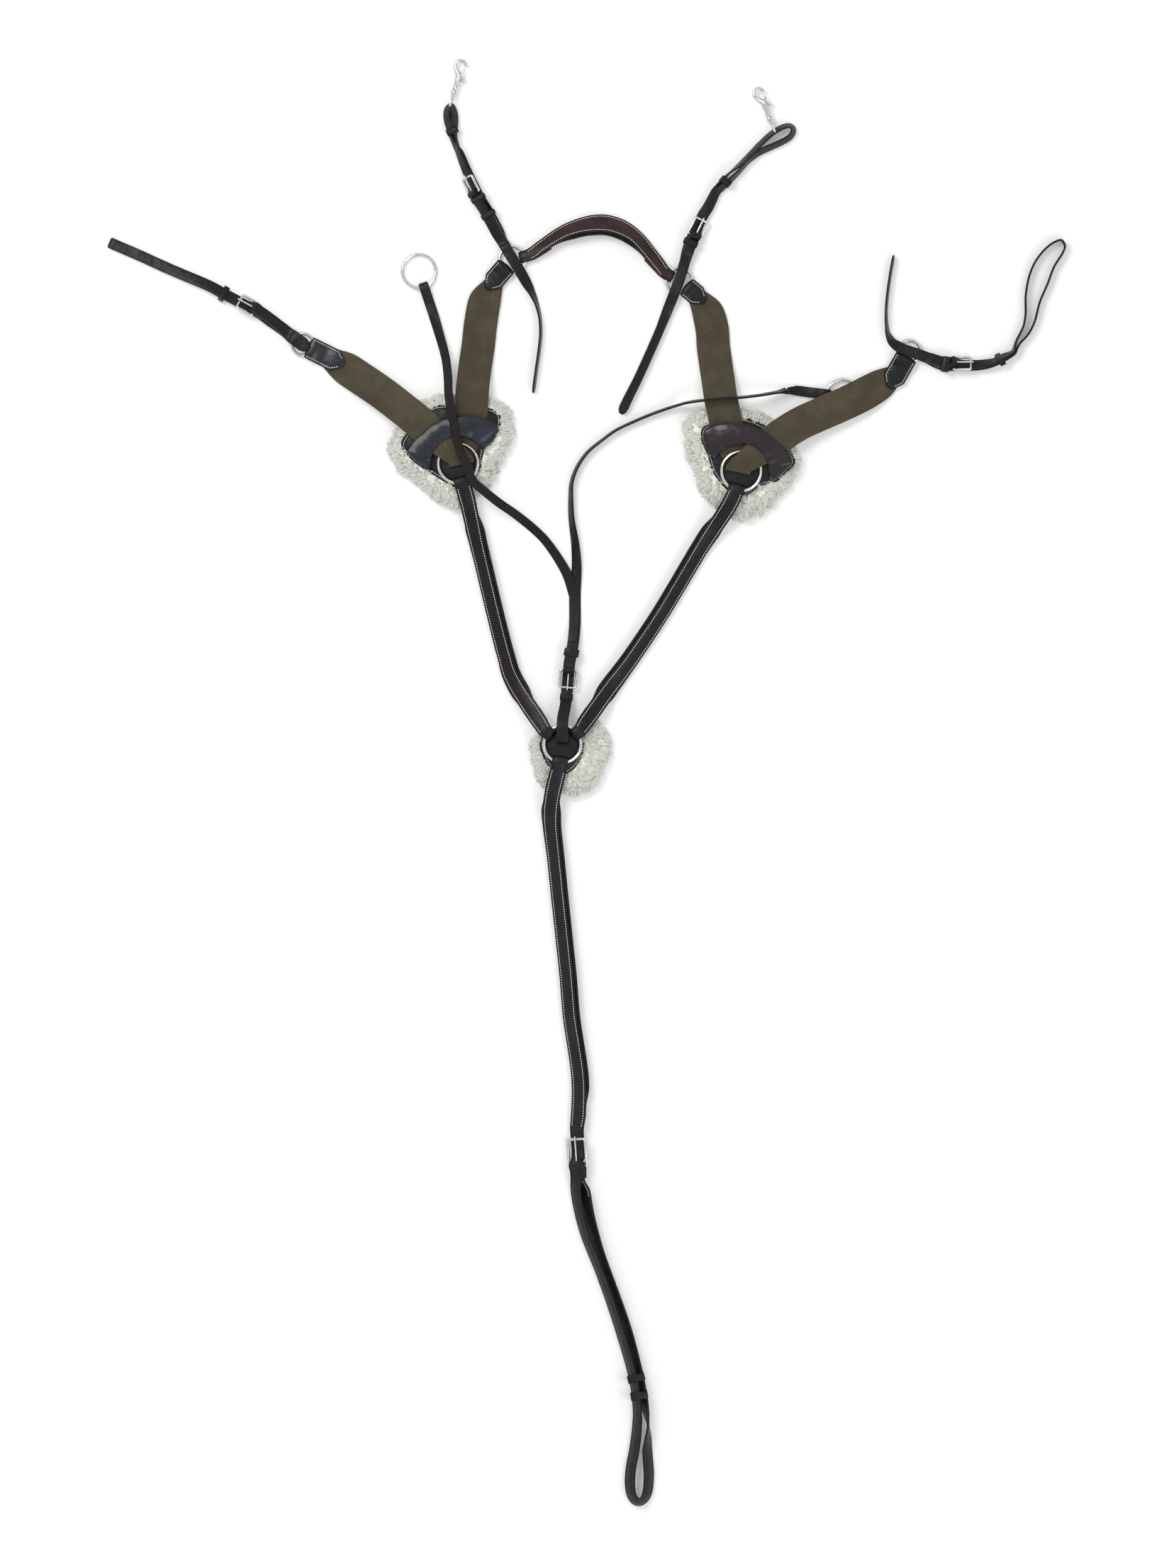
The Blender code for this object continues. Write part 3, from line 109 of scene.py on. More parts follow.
def add_node(material, kind, settings=None, **inputs):
    """Adds a node. An input is a value, or another node's output to link. i0 is the first socket."""
    node = material.node_tree.nodes.new(kind)
    for name, value in (settings or {}).items():
        setattr(node, name, value)
    for name, value in inputs.items():
        numbered = name[0] == "i" and name[1:].isdigit()
        socket = node.inputs[int(name[1:]) if numbered else name.replace("_", " ")]
        if isinstance(value, bpy.types.NodeSocket):
            material.node_tree.links.new(value, socket)
        else:
            socket.default_value = value
    return node


def new_material(name, roughness=0.5, metallic=0.0, **sockets):
    """A material with its Principled shader, whose constants are set on its own sockets."""
    material = bpy.data.materials.new(name)
    material.use_nodes = True
    shader = material.node_tree.nodes["Principled BSDF"]
    shader.inputs["Roughness"].default_value = roughness
    shader.inputs["Metallic"].default_value = metallic
    for socket, value in sockets.items():
        shader.inputs[socket.replace("_", " ")].default_value = value
    return material, shader


def join(material, output, socket):
    """Links an output to a socket."""
    material.node_tree.links.new(output, socket)


# %% Ramps, patterns and bumps
def ramp(material, value, *stops):
    """A colour ramp through (place, hex colour) stops."""
    node = add_node(material, "ShaderNodeValToRGB", Fac=value)
    elements = node.color_ramp.elements
    while len(elements) < len(stops):
        elements.new(0.5)
    for element, (place, colour) in zip(elements, stops):
        element.position = place
        element.color = linear(colour)
    return node.outputs["Color"]


def pattern(material, kind, scale, **settings):
    """A Noise or Voronoi texture on Object coordinates, with features about 1/scale metres across."""
    place = add_node(material, "ShaderNodeTexCoord").outputs["Object"]
    return add_node(material, kind, None, Vector=place, Scale=scale, **settings)


def mix(material, factor, first, second):
    """A colour between two others."""
    node = add_node(material, "ShaderNodeMix", {"data_type": "RGBA"}, i0=factor, i6=first, i7=second)
    return node.outputs[2]


def maths(material, operation, first, second=0.0, clamp=False):
    """The result of one sum."""
    settings = {"operation": operation, "use_clamp": clamp}
    return add_node(material, "ShaderNodeMath", settings, i0=first, i1=second).outputs[0]


def bump(material, shader, height, distance, strength=1.0, before=None):
    """Raises the surface by distance metres where height is 1."""
    node = add_node(material, "ShaderNodeBump", None, Height=height, Distance=distance, Strength=strength)
    if before is not None:
        join(material, before, node.inputs["Normal"])
    join(material, node.outputs["Normal"], shader.inputs["Normal"])
    return node.outputs["Normal"]


print("a mid grey is", round(linear("#808080")[0], 3), "in linear light")

# %% [markdown]
# ### Leather
#
# Bridle leather is curried with wax: it is dark, with a fine pebbled grain, a soft sheen and slightly
# duller patches. The grain is a Voronoi of 0.7 mm cells in the bump, over the slow waves that a used strap
# has. The cut edges are burnished and inked black, which needs to know where on the strap a point lies: the
# sweep stores that as an attribute.

# %% Leathers
GRAIN = 0.7 * MM
TONE_PATCH = 22 * MM
DULL_PATCH = 6 * MM
SLOW_WAVE = 12 * MM


def leather(name, dark, light, edge, roughness, grain=0.05 * MM, wave=0.25 * MM, coat=0.0):
    """Grained leather in two tones, with inked edges. The wax keeps its highlights low."""
    satin = {"Specular_IOR_Level": 0.22}
    material, shader = new_material(name, roughness, Coat_Weight=coat, Coat_Roughness=0.12, **satin)
    tone = pattern(material, "ShaderNodeTexNoise", 1 / TONE_PATCH, Detail=5.0, Roughness=0.6)
    colour = ramp(material, tone.outputs["Fac"], (0.35, dark), (0.68, light))
    edge_mark = add_node(material, "ShaderNodeAttribute", {"attribute_name": "edge"}).outputs["Fac"]
    colour = mix(material, edge_mark, colour, linear(edge))
    join(material, colour, shader.inputs["Base Color"])
    dull = pattern(material, "ShaderNodeTexNoise", 1 / DULL_PATCH, Detail=4.0)
    level = maths(material, "MULTIPLY", dull.outputs["Fac"], 0.22)
    join(material, maths(material, "ADD", level, roughness - 0.11), shader.inputs["Roughness"])
    slow = pattern(material, "ShaderNodeTexNoise", 1 / SLOW_WAVE, Detail=2.0)
    fine = pattern(material, "ShaderNodeTexVoronoi", 1 / GRAIN, Randomness=1.0)
    first = bump(material, shader, slow.outputs["Fac"], wave * 4)
    bump(material, shader, fine.outputs["Distance"], grain, 0.7, first)
    return material


# Oiled, almost black with a plum cast.
bridle_leather = leather("bridle_leather", "#0f090c", "#1c1317", "#050505", 0.4)
# Dyed through, with a closer wax finish.
black_bridle = leather("black_bridle_leather", "#0a0a0b", "#161719", "#050505", 0.36)
slate_leather = leather("waxed_slate_leather", "#111316", "#1e2126", "#050505", 0.36)
brown_leather = leather("brown_bridle_leather", "#261718", "#3b2625", "#0c0808", 0.4)
# Lacquered, so the grain is filled and a clear coat lies over it.
LACQUER = (0.3, 0.004 * MM, 0.2 * MM, 0.2)
patent_slate = leather("patent_slate_leather", "#12161e", "#222934", "#0a0b0f", *LACQUER)
patent_plum = leather("patent_plum_leather", "#150f14", "#261c24", "#0a0709", *LACQUER)
# Soft matt calf with open, puckered grain.
lining_leather = leather("padded_calf_lining", "#0a0d0c", "#151a18", "#0a0d0c", 0.5, 0.06 * MM, 0.4 * MM)
print("leathers:", [m.name for m in bpy.data.materials if "leather" in m.name or "calf" in m.name])

# %% [markdown]
# ### Thread, elastic, wool and steel
#
# The thread is a waxed off-white cord. The elastic is a close olive webbing: warps run along it in ribs and
# the weft crosses them, so the bump is made of two waves on the strap's own coordinates, drawn a little
# coarser than the real ones so that they show, with a few pale specks of lint and browner stains. The same
# waves paint its colour darker in the troughs, as painted shade, and lighter on the ribs, as painted light.
# The wool is cream with a soft sheen, and its colour is painted greyer towards the roots of its tufts, as shade.
# The steel is polished, smeared a little, and keeps a metal's IOR.

# %% Thread
TWIST = 0.6 * MM
waxed_thread, shader = new_material("waxed_linen_thread", 0.6)
twist = pattern(waxed_thread, "ShaderNodeTexNoise", 1 / TWIST)
thread_colour = ramp(waxed_thread, twist.outputs["Fac"], (0.3, "#e2dfd4"), (0.7, "#fbf9f3"))
join(waxed_thread, thread_colour, shader.inputs["Base Color"])

# %% Elastic
RIB = 1.3 * MM
WEFT = 0.9 * MM
STAIN_PATCH = 30 * MM
LINT_GAP = 16 * MM
LINT_CLUSTER = 20 * MM

olive_elastic, shader = new_material("olive_elastic_webbing", 0.85, Sheen_Weight=0.25, Sheen_Roughness=0.5)
strap_place = add_node(olive_elastic, "ShaderNodeAttribute", {"attribute_name": "strap_place"})
split = add_node(olive_elastic, "ShaderNodeSeparateXYZ", None, Vector=strap_place.outputs["Vector"])
rib = maths(olive_elastic, "SINE", maths(olive_elastic, "MULTIPLY", split.outputs["Y"], 2 * math.pi / RIB))
weft = maths(olive_elastic, "SINE", maths(olive_elastic, "MULTIPLY", split.outputs["X"], 2 * math.pi / WEFT))
weave = maths(olive_elastic, "MULTIPLY", maths(olive_elastic, "MULTIPLY", rib, weft), 0.25)
weave = maths(olive_elastic, "ADD", weave, maths(olive_elastic, "MULTIPLY", rib, 0.25))
weave = maths(olive_elastic, "ADD", weave, 0.5)
worn = pattern(olive_elastic, "ShaderNodeTexNoise", 1 / STAIN_PATCH, Detail=7.0, Roughness=0.65)
# Darker where the weave is low and lighter where it is high: painted shade in the weave's troughs and painted
# light on its ribs.
cloth = ramp(olive_elastic, weave, (0.1, "#332d1c"), (0.9, "#4d4530"))
stain = ramp(olive_elastic, worn.outputs["Fac"], (0.36, "#30241b"), (0.52, "#433b29"), (0.66, "#4f4930"))
cloth = mix(olive_elastic, 0.62, cloth, stain)
lint = pattern(olive_elastic, "ShaderNodeTexVoronoi", 1 / LINT_GAP)
fleck = maths(olive_elastic, "LESS_THAN", lint.outputs["Distance"], 0.036)
rare = pattern(olive_elastic, "ShaderNodeTexNoise", 1 / LINT_CLUSTER)
rare = maths(olive_elastic, "GREATER_THAN", rare.outputs["Fac"], 0.55)
fleck = maths(olive_elastic, "MULTIPLY", fleck, rare)
join(olive_elastic, mix(olive_elastic, fleck, cloth, linear("#a8a08a")), shader.inputs["Base Color"])
bump(olive_elastic, shader, weave, 0.22 * MM, 0.7)

# %% Wool
WOOL_CLUMP = 9 * MM
WOOL_FIBRE = 0.8 * MM
sheep_wool, shader = new_material("combed_sheep_wool", 0.9, Sheen_Weight=0.4, Sheen_Roughness=0.4)
shader.inputs["Sheen Tint"].default_value = linear("#fffdf0")
# An attribute from 0 at a tuft's root to 1 at its tip, and 0.3 on the body under the tufts: where it is low the
# colour is painted darker, as shade among the tufts.
root = add_node(sheep_wool, "ShaderNodeAttribute", {"attribute_name": "root_shade_share"}).outputs["Fac"]
clump = pattern(sheep_wool, "ShaderNodeTexNoise", 1 / WOOL_CLUMP, Detail=3.0)
clump = maths(sheep_wool, "MULTIPLY", clump.outputs["Fac"], 0.5)
wool_tone_and_root_shade = maths(sheep_wool, "ADD", maths(sheep_wool, "MULTIPLY", root, 0.75), clump)
wool_colour = ramp(sheep_wool, wool_tone_and_root_shade, (0.1, "#dfe3d3"), (0.4, "#f4f6ea"), (0.8, "#fffffa"))
join(sheep_wool, wool_colour, shader.inputs["Base Color"])
fibre = pattern(sheep_wool, "ShaderNodeTexNoise", 1 / WOOL_FIBRE, Detail=2.0)
bump(sheep_wool, shader, fibre.outputs["Fac"], 0.4 * MM, 0.5)

# %% Steel
SMEAR = 4 * MM
polished_steel, shader = new_material("polished_stainless_steel", 0.14, 1.0)
smear = pattern(polished_steel, "ShaderNodeTexNoise", 1 / SMEAR, Detail=4.0)
steel_colour = ramp(polished_steel, smear.outputs["Fac"], (0.3, "#b0b0ae"), (0.7, "#d0d0ce"))
join(polished_steel, steel_colour, shader.inputs["Base Color"])
level = maths(polished_steel, "MULTIPLY", smear.outputs["Fac"], 0.16)
join(polished_steel, maths(polished_steel, "ADD", level, 0.03), shader.inputs["Roughness"])
print("materials so far:", len(bpy.data.materials))

# %% [markdown]
# ## Reading the straps
#
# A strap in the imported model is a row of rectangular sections. Instead of typing the routes again, each
# section is read back: merge the loose triangles, find the flat end caps, then walk the four sharp corner
# edges together. The next four corners are the ones that make a rectangle again, so a slot cut in a face
# doesn't mislead the walk.

# %% Strap sections from a solid
Section = namedtuple("Section", "place across up half thick")
SHARP = math.radians(48)
IN_PLANE = 0.02
SAME_POINT = 0.002 * MM
MOST_SECTIONS = 400
BEND_STEP = 12.0


def merged_copy(node):
    """A solid's mesh with its loose triangles joined."""
    bm = bmesh.new()
    bm.from_mesh(nodes[node].data)
    bmesh.ops.remove_doubles(bm, verts=bm.verts, dist=SAME_POINT)
    return bm


# %% Walking the corners
def is_sharp(edge):
    return len(edge.link_faces) == 2 and edge.calc_face_angle() > SHARP


def end_caps(bm):
    """The flat four-cornered faces with a sharp edge all round, each as its corners in order."""
    caps = []
    for edge in bm.edges:
        if len(edge.link_faces) != 2 or edge.calc_face_angle() > IN_PLANE:
            continue
        rim = [e for face in edge.link_faces for e in face.edges if e is not edge]
        if all(is_sharp(e) for e in rim):
            tips = [next(v for v in face.verts if v not in edge.verts) for face in edge.link_faces]
            caps.append([edge.verts[0], tips[0], edge.verts[1], tips[1]])
    return caps


def unevenness(four):
    """How far four corners are from a rectangle."""
    a, b, c, d = [v.co for v in four]
    return max(abs((a - b).length - (d - c).length), abs((b - c).length - (a - d).length))


def next_corners(four, before):
    """The four corners that the sharp edges lead to, if some of them make a rectangle."""
    ways = []
    for vert in four:
        ends = [edge.other_vert(vert) for edge in vert.link_edges if is_sharp(edge)]
        ways.append([v for v in ends if v not in four and v not in before])
    choices = [c for c in itertools.product(*ways) if len(set(c)) == 4 and unevenness(c) < 0.05 * MM]
    return list(min(choices, key=unevenness)) if choices else None


def walk(cap):
    """The corners of every section from one end cap on, as far as they stay rectangular."""
    corners = [cap]
    four = next_corners(cap, [])
    while four and len(corners) < MOST_SECTIONS:
        corners.append(four)
        four = next_corners(four, corners[-2])
    return [[v.co.copy() for v in four] for four in corners]


# %% From corners to sections
def as_sections(corners):
    """Corners turned to sections, whose across is the wide way."""
    wide = sum((c[0] - c[1]).length for c in corners) > sum((c[1] - c[2]).length for c in corners)
    made = []
    for c in corners:
        a, b, c2, d = c if wide else c[1:] + c[:1]
        across, up = (a - b + d - c2) / 2, (a - d + b - c2) / 2
        place = (a + b + c2 + d) / 4
        made.append(Section(place, across.normalized(), up.normalized(), across.length / 2, up.length / 2))
    return made


def sections_of(node):
    """The longest run of sections in a solid, with up pointing away from the floor at its middle."""
    bm = merged_copy(node)
    run = as_sections(max((walk(cap) for cap in end_caps(bm)), key=len))
    bm.free()
    if run[len(run) // 2].up.z < 0:
        run = turned_over(run)
    return run


def turned_over(run):
    return [s._replace(across=-s.across, up=-s.up) for s in run]


def distances(run):
    far = [0.0]
    for before, here in zip(run, run[1:]):
        far.append(far[-1] + (here.place - before.place).length)
    return far


# %% Closer sections
def smoothed(run, step=2.5 * MM):
    """More sections on a curve through the given ones, closer where the strap bends."""
    gaps = [(b.place - a.place).length for a, b in zip(run, run[1:])]
    ways = [(b.place - a.place).normalized() for a, b in zip(run, run[1:])]
    slopes = [ways[0]]
    for i in range(1, len(run) - 1):
        slopes.append((ways[i - 1] * gaps[i] + ways[i] * gaps[i - 1]) / (gaps[i] + gaps[i - 1]))
    slopes.append(ways[-1])
    made = []
    for i, gap in enumerate(gaps):
        here, there = run[i], run[i + 1]
        turn = math.degrees(slopes[i].angle(slopes[i + 1], 0))
        steps = max(1, round(gap / step), round(turn / BEND_STEP))
        for k in range(steps):
            t = k / steps
            place = (
                here.place * (2 * t**3 - 3 * t**2 + 1)
                + slopes[i] * gap * (t**3 - 2 * t**2 + t)
                + there.place * (3 * t**2 - 2 * t**3)
                + slopes[i + 1] * gap * (t**3 - t**2)
            )
            across = here.across.lerp(there.across, t).normalized()
            up = here.up.lerp(there.up, t).normalized()
            half = here.half + (there.half - here.half) * t
            thick = here.thick + (there.thick - here.thick) * t
            made.append(Section(place, across, up, half, thick))
    made.append(run[-1])
    return made


STRAPS = [name for name in sorted(nodes) if name.endswith(("_strap", "_arch", "_tab", "_billet", "_elastic"))]
runs = {name: sections_of(name) for name in STRAPS}
print("sections read:", {name: len(run) for name, run in runs.items()})

# %% [markdown]
# The martingale's fork is the one solid made of two bands, so its corners stop where they join. It is read
# from all three of its ends. The strap from the right ring is bridged across the join to the strap at the
# buckle, and the left branch lies on it.

# %% The fork's two bands
NARROW = 5 * MM
FORK_SPLIT = 0.2
JOIN_START = 0.165
JOIN_MIDDLE = 0.18

bm = merged_copy("martingale_fork")
fork_ends = [as_sections(walk(cap)) for cap in end_caps(bm)]
bm.free()
fork_ends = [run for run in fork_ends if len(run) > 9 and max(s.half for s in run) > NARROW]
for run in fork_ends:
    first, final = [[round(x / MM) for x in s.place] for s in (run[0], run[-1])]
    print("fork end at", first, "to", final, len(run), "sections")

upper_ends = [run for run in fork_ends if run[0].place.y > FORK_SPLIT]
fork_starts = {"left" if run[0].place.x < 0 else "right": run for run in upper_ends}
fork_tail = next(run for run in fork_ends if run[0].place.y < FORK_SPLIT)


def matched(run, other):
    """The run turned so that its last up agrees with the other's first."""
    return run if run[-1].up.dot(other.up) > 0 else turned_over(run)


def facing(run, other):
    """Sections whose across agrees with the neighbour's, so that nothing twists in the join."""
    return run if run[-1].across.dot(other.across) > 0 else [s._replace(across=-s.across) for s in run]


trunk_end = fork_tail[::-1]
runs["fork_right"] = facing(matched(fork_starts["right"], trunk_end[0]), trunk_end[0]) + trunk_end
over_trunk = [s._replace(place=s.place + UP * 0.4 * MM) for s in fork_starts["left"]]
branch = matched(over_trunk, trunk_end[0])
last = branch[-1]
for section in [s for s in runs["fork_right"] if JOIN_START < s.place.y < FORK_SPLIT]:
    side = section.across if section.across.dot(last.across) > 0 else -section.across
    sunk = section.place + UP * (0.6 * MM if section.place.y > JOIN_MIDDLE else -0.5 * MM)
    branch.append(last._replace(place=sunk, across=side, up=section.up))
runs["fork_left"] = branch
print("the fork:", len(runs["fork_right"]), "and", len(runs["fork_left"]), "sections")

# %% [markdown]
# ## The lie of the loops
#
# The solids keep the loops of the girth and snap straps on edge, which is all that a collision needs. The
# real leather leans over, so its face shows. Each section is turned about the strap until its outer face
# looks up by the wanted rise, with its lowest edge where it was. A free end does the opposite and stands
# almost on edge. A rise is the height of the face's normal: 1 lies flat and 0 stands on edge. Every turn
# comes in bit by bit.

# %% Places and shares
PX = 0.85 * MM


def on_floor(pixel):
    """The place on the floor of a point of the photograph, whose pixels are 0.85 mm."""
    return Vector(((pixel[0] - 793.5) * PX, (1050 - pixel[1]) * PX, 0))


def eased(value, start, end):
    """From 0 at start to 1 at end, smoothly."""
    t = min(1.0, max(0.0, (value - start) / (end - start)))
    return t * t * (3 - 2 * t)


print("a pixel of the photograph is", PX / MM, "mm and a share of 0.25 eases to", round(eased(0.25, 0, 1), 3))

# %% Turned sections
FLOOR_GAP = 0.6 * MM
GIRTH_TURN_TOP = -0.55
GIRTH_TWIST = (-0.785, -0.85)
GIRTH_RISE = 0.62
KEPT_RISE = 0.52
LOOP_BOTTOM = 0.69
LOOP_EASE = 0.02
FREE_RISE = 0.16
SNAP_RISE = {"left_snap_strap": 0.6, "right_snap_strap": 0.45}
LIES_FLAT = 0.8


def turned_to(section, face, rise, inward=0.0):
    """The section turned until its outer face looks up by rise, and moved in by a share of what it leans."""
    out = section.up * face
    flat = Vector((out.x, out.y, 0)).normalized()
    level = math.sqrt(1 - rise * rise)
    top_edge = UP * level - flat * rise
    across = top_edge if section.across.z > 0 else -top_edge
    low = section.place.z - abs(section.across.z) * section.half - abs(section.up.z) * section.thick
    low = max(low, FLOOR_GAP)
    place = section.place - flat * rise * section.half * inward
    place.z = low + level * section.half + abs(rise) * section.thick
    return section._replace(place=place, across=across, up=(flat * level + UP * rise) * face)


def girth_lie(section):
    """Both layers lean one way under the keepers, and the right one turns over into the loop."""
    y = section.place.y
    if y > GIRTH_TURN_TOP or abs(section.up.z) > LIES_FLAT:
        return section
    in_loop = eased(y, *GIRTH_TWIST)
    left = section.up.x < 0
    start = max(section.up.z, KEPT_RISE) if left else min(section.up.z, -KEPT_RISE)
    return turned_to(section, 1, start + (GIRTH_RISE - start) * in_loop, in_loop)


def snap_lie(run, rise):
    """The sections of a snap strap's loop leaned in towards its middle."""
    loop = [s for s in run if s.place.y > LOOP_BOTTOM]
    middle = sum((s.place for s in loop), Vector()) / len(loop)
    face = 1 if sum(s.up.dot(s.place - middle) for s in loop) > 0 else -1
    made = []
    for section in run:
        out = section.up.z * face
        in_loop = eased(section.place.y, LOOP_BOTTOM - LOOP_EASE, LOOP_BOTTOM + LOOP_EASE)
        share = eased(abs(out), 0.5, 0.0) * in_loop
        made.append(turned_to(section, face, out + (rise - out) * share, share) if share else section)
    return made


def on_edge(run, x, sign, span):
    """The free end of a strap stood on edge: what lies past x on one side, from one y to another."""
    made = []
    for section in run:
        share = eased(section.place.y, *span) if (section.place.x - x) * sign > 0 else 0.0
        face = 1 if section.up.z > 0 else -1
        wanted = abs(section.up.z) + (FREE_RISE - abs(section.up.z)) * share
        made.append(turned_to(section, face, wanted) if share and abs(section.up.z) < 0.98 else section)
    return made


# %% The lie of every strap
FREE_ENDS = {"left_snap_strap": (-0.045, 1, (0.55, 0.51)), "right_flank_strap": (0.41, -1, (0.49, 0.52))}
shown = dict(runs)
shown["girth_strap"] = [girth_lie(s) for s in runs["girth_strap"]]
for name, rise in SNAP_RISE.items():
    shown[name] = snap_lie(runs[name], rise)
for name, end in FREE_ENDS.items():
    shown[name] = on_edge(shown[name], *end)
for name in ("left_flank_tab", "left_wither_tab", "right_flank_tab", "right_wither_tab"):
    wide = max(s.half for s in runs[name])
    shown[name] = [s._replace(half=wide) if s.up.z > LIES_FLAT and NARROW < s.half else s for s in runs[name]]
print("leaning:", [name for name in shown if shown[name] is not runs[name]])

# %% [markdown]
# Two more things happen where leather goes round something. The end of a loop is round, so its sections are
# averaged with their neighbours, and a strap narrows a little in a fold. The left flank billet covers its
# ring, so it is wider there.

# %% Rounded loops and folds
GIRTH_LOOP_END = -0.875
SHRINK_SPAN = (-0.87, -0.905)
LOOP_SHRINK = 4.0 * MM
SNAP_LOOP_END = 0.72
GIRTH_PASSES = 14
SNAP_PASSES = 6
FOLD_WIDTH = 0.86
COVER = 0.3
COVER_SPAN = (32 * MM, 12 * MM)


def relaxed(run, passes, test):
    """The run with its chosen sections smoothed, so that a loop's end is round."""
    for _ in range(passes):
        made = list(run)
        for i in range(1, len(run) - 1):
            before, here, after = run[i - 1], run[i], run[i + 1]
            if test(here):
                made[i] = here._replace(
                    place=(before.place + here.place * 2 + after.place) / 4,
                    across=(before.across + here.across * 2 + after.across).normalized(),
                    up=(before.up + here.up * 2 + after.up).normalized(),
                )
        run = made
    return run


def fold_rounded(section):
    """A strap narrows a little where it goes round a bar, so its fold has round corners."""
    lies_flat = abs(section.across.z) < 0.3
    full = FOLD_WIDTH + (1 - FOLD_WIDTH) * abs(section.up.z)
    return section._replace(half=section.half * full) if lies_flat else section


def covering(section, ring):
    """A section made wider near the ring that it covers."""
    near = eased((section.place.xy - ring.xy).length, *COVER_SPAN)
    return section._replace(half=section.half * (1 + COVER * near))


rounded = relaxed(smoothed(shown["girth_strap"]), GIRTH_PASSES, lambda s: s.place.y < GIRTH_LOOP_END)
shown["girth_strap"] = [
    s._replace(place=s.place - Vector((0, LOOP_SHRINK * eased(s.place.y, *SHRINK_SPAN), 0))) for s in rounded
]
for name in ("left_snap_strap", "right_snap_strap"):
    shown[name] = relaxed(smoothed(shown[name]), SNAP_PASSES, lambda s: s.place.y > SNAP_LOOP_END)
shown["left_flank_strap"] = [covering(s, on_floor((427.6, 486.5))) for s in runs["left_flank_strap"]]
for name in shown:
    if not name.endswith("_elastic"):
        shown[name] = [fold_rounded(s) for s in shown[name]]
print("sections of the girth strap:", len(shown["girth_strap"]))

# %% [markdown]
# ## Sweeping a strap
#
# A strap is a grid bent into a tube: one way round the profile, the other way along the sections. A real
# strap has rounded edges, a crowned face where it is padded and a slight furrow under each row of stitches,
# so the profile has points for those. The mesh keeps two attributes for the finishes: where a point lies on
# the strap, and whether it is on the cut edge.

# %% The profile and the sweep
Shape = namedtuple("Shape", "corner crown furrow", defaults=(0.8, 0.15, None))
FURROW_SIDE = 0.9 * MM
FURROW_DEPTH = 0.22 * MM


def profile(section, shape):
    """Points (across, up, edge) round one section, in metres, anticlockwise from the upper right."""
    half, thick = section.half, section.thick
    r = min(shape.corner * MM, thick * 0.9, half * 0.6)
    points = []
    arc = [(math.sin(math.radians(t)), math.cos(math.radians(t))) for t in (90, 60, 30, 0)]
    shoulder = 0.95 if shape.furrow else 0.5
    points += [(half - r + r * a, thick - r + r * b, 1.0 if a > 0.6 else shoulder) for a, b in arc]
    inner = half - r
    if shape.furrow:
        f = shape.furrow * MM
        marks = [(half - f + FURROW_SIDE, 0.0, 0.9), (half - f, -FURROW_DEPTH, 0.4)]
        marks.append((half - f - FURROW_SIDE, 0.02 * MM, 0.0))
    else:
        marks = [(inner * 0.8, shape.crown * MM * 0.4, 0.0)]
    top = marks + [(inner * 0.35, shape.crown * MM, 0.0), (-inner * 0.35, shape.crown * MM, 0.0)]
    top += [(-x, y, mark) for x, y, mark in reversed(marks)]
    points += [(x, thick + y, mark) for x, y, mark in top]
    points += [(-half + r - r * a, thick - r + r * b, 1.0 if a > 0.6 else shoulder) for a, b in reversed(arc)]
    points += [(-half + r - r * a, -thick + r - r * b, 1.0 if a > 0.6 else 0.4) for a, b in arc]
    points += [(-inner * 0.4, -thick, 0.0), (inner * 0.4, -thick, 0.0)]
    points += [(half - r + r * a, -thick + r - r * b, 1.0 if a > 0.6 else 0.4) for a, b in reversed(arc)]
    return points


# %% A tube from a grid
def tube_grid(rows, columns):
    """A grid with its attributes, and its vertices looked up by (row, column)."""
    bm = bmesh.new()
    bm.verts.layers.float_vector.new("strap_place")
    bm.verts.layers.float.new("edge")
    bmesh.ops.create_grid(bm, x_segments=rows - 1, y_segments=columns, size=0.5)
    place = {}
    for vert in bm.verts:
        place[round((vert.co.x + 0.5) * (rows - 1)), round((vert.co.y + 0.5) * columns)] = vert
    return bm, place


def close_tube(bm):
    """Joins the grid's long sides, fills its two ends and turns all faces outward."""
    bmesh.ops.remove_doubles(bm, verts=bm.verts, dist=SAME_POINT)
    bmesh.ops.holes_fill(bm, edges=[e for e in bm.edges if e.is_boundary], sides=0)
    bmesh.ops.recalc_face_normals(bm, faces=bm.faces)


# %% A piece of the object
def new_piece(name, bm, material, body=None, replaces=(), smooth=True):
    """Makes the object of a piece, at the origin with its place in its mesh, and rides it on its body."""
    mesh = bpy.data.meshes.new(name)
    if smooth:
        for face in bm.faces:
            face.smooth = True
    bm.to_mesh(mesh)
    bm.free()
    mesh.materials.append(material)
    piece = bpy.data.objects.new(name, mesh)
    bpy.context.scene.collection.objects.link(piece)
    if body:
        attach(piece, body)
    if replaces:
        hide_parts(*replaces)
    return piece


def body_of(node):
    return nodes[node]["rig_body"]


# %% The sweep
def sweep(run, shape=Shape(), wobble=0.0, seed=0):
    """A closed strap through its sections."""
    columns = len(profile(run[0], shape))
    bm, place = tube_grid(len(run), columns)
    strap_place = bm.verts.layers.float_vector["strap_place"]
    edge = bm.verts.layers.float["edge"]
    far = distances(run)
    for row, section in enumerate(run):
        for column, (a, b, mark) in enumerate(profile(section, shape)):
            lift = wobble * noise.noise(Vector((far[row] / (9 * MM), a / (6 * MM), seed))) if wobble else 0.0
            co = section.place + section.across * a + section.up * (b + lift)
            for c in ([0, columns] if column == 0 else [column]):
                vert = place[row, c]
                vert.co = co
                vert[strap_place] = (far[row], a, b)
                vert[edge] = mark
    close_tube(bm)
    return bm


print("points round a profile:", len(profile(runs["girth_strap"][5], Shape())))

# %% [markdown]
# ## Leather straps
#
# All the flat straps are made the same way from the sections that were read, closer together where they
# bend. The two chest straps, the girth strap and the strap over the withers are padded, so their faces are
# crowned.

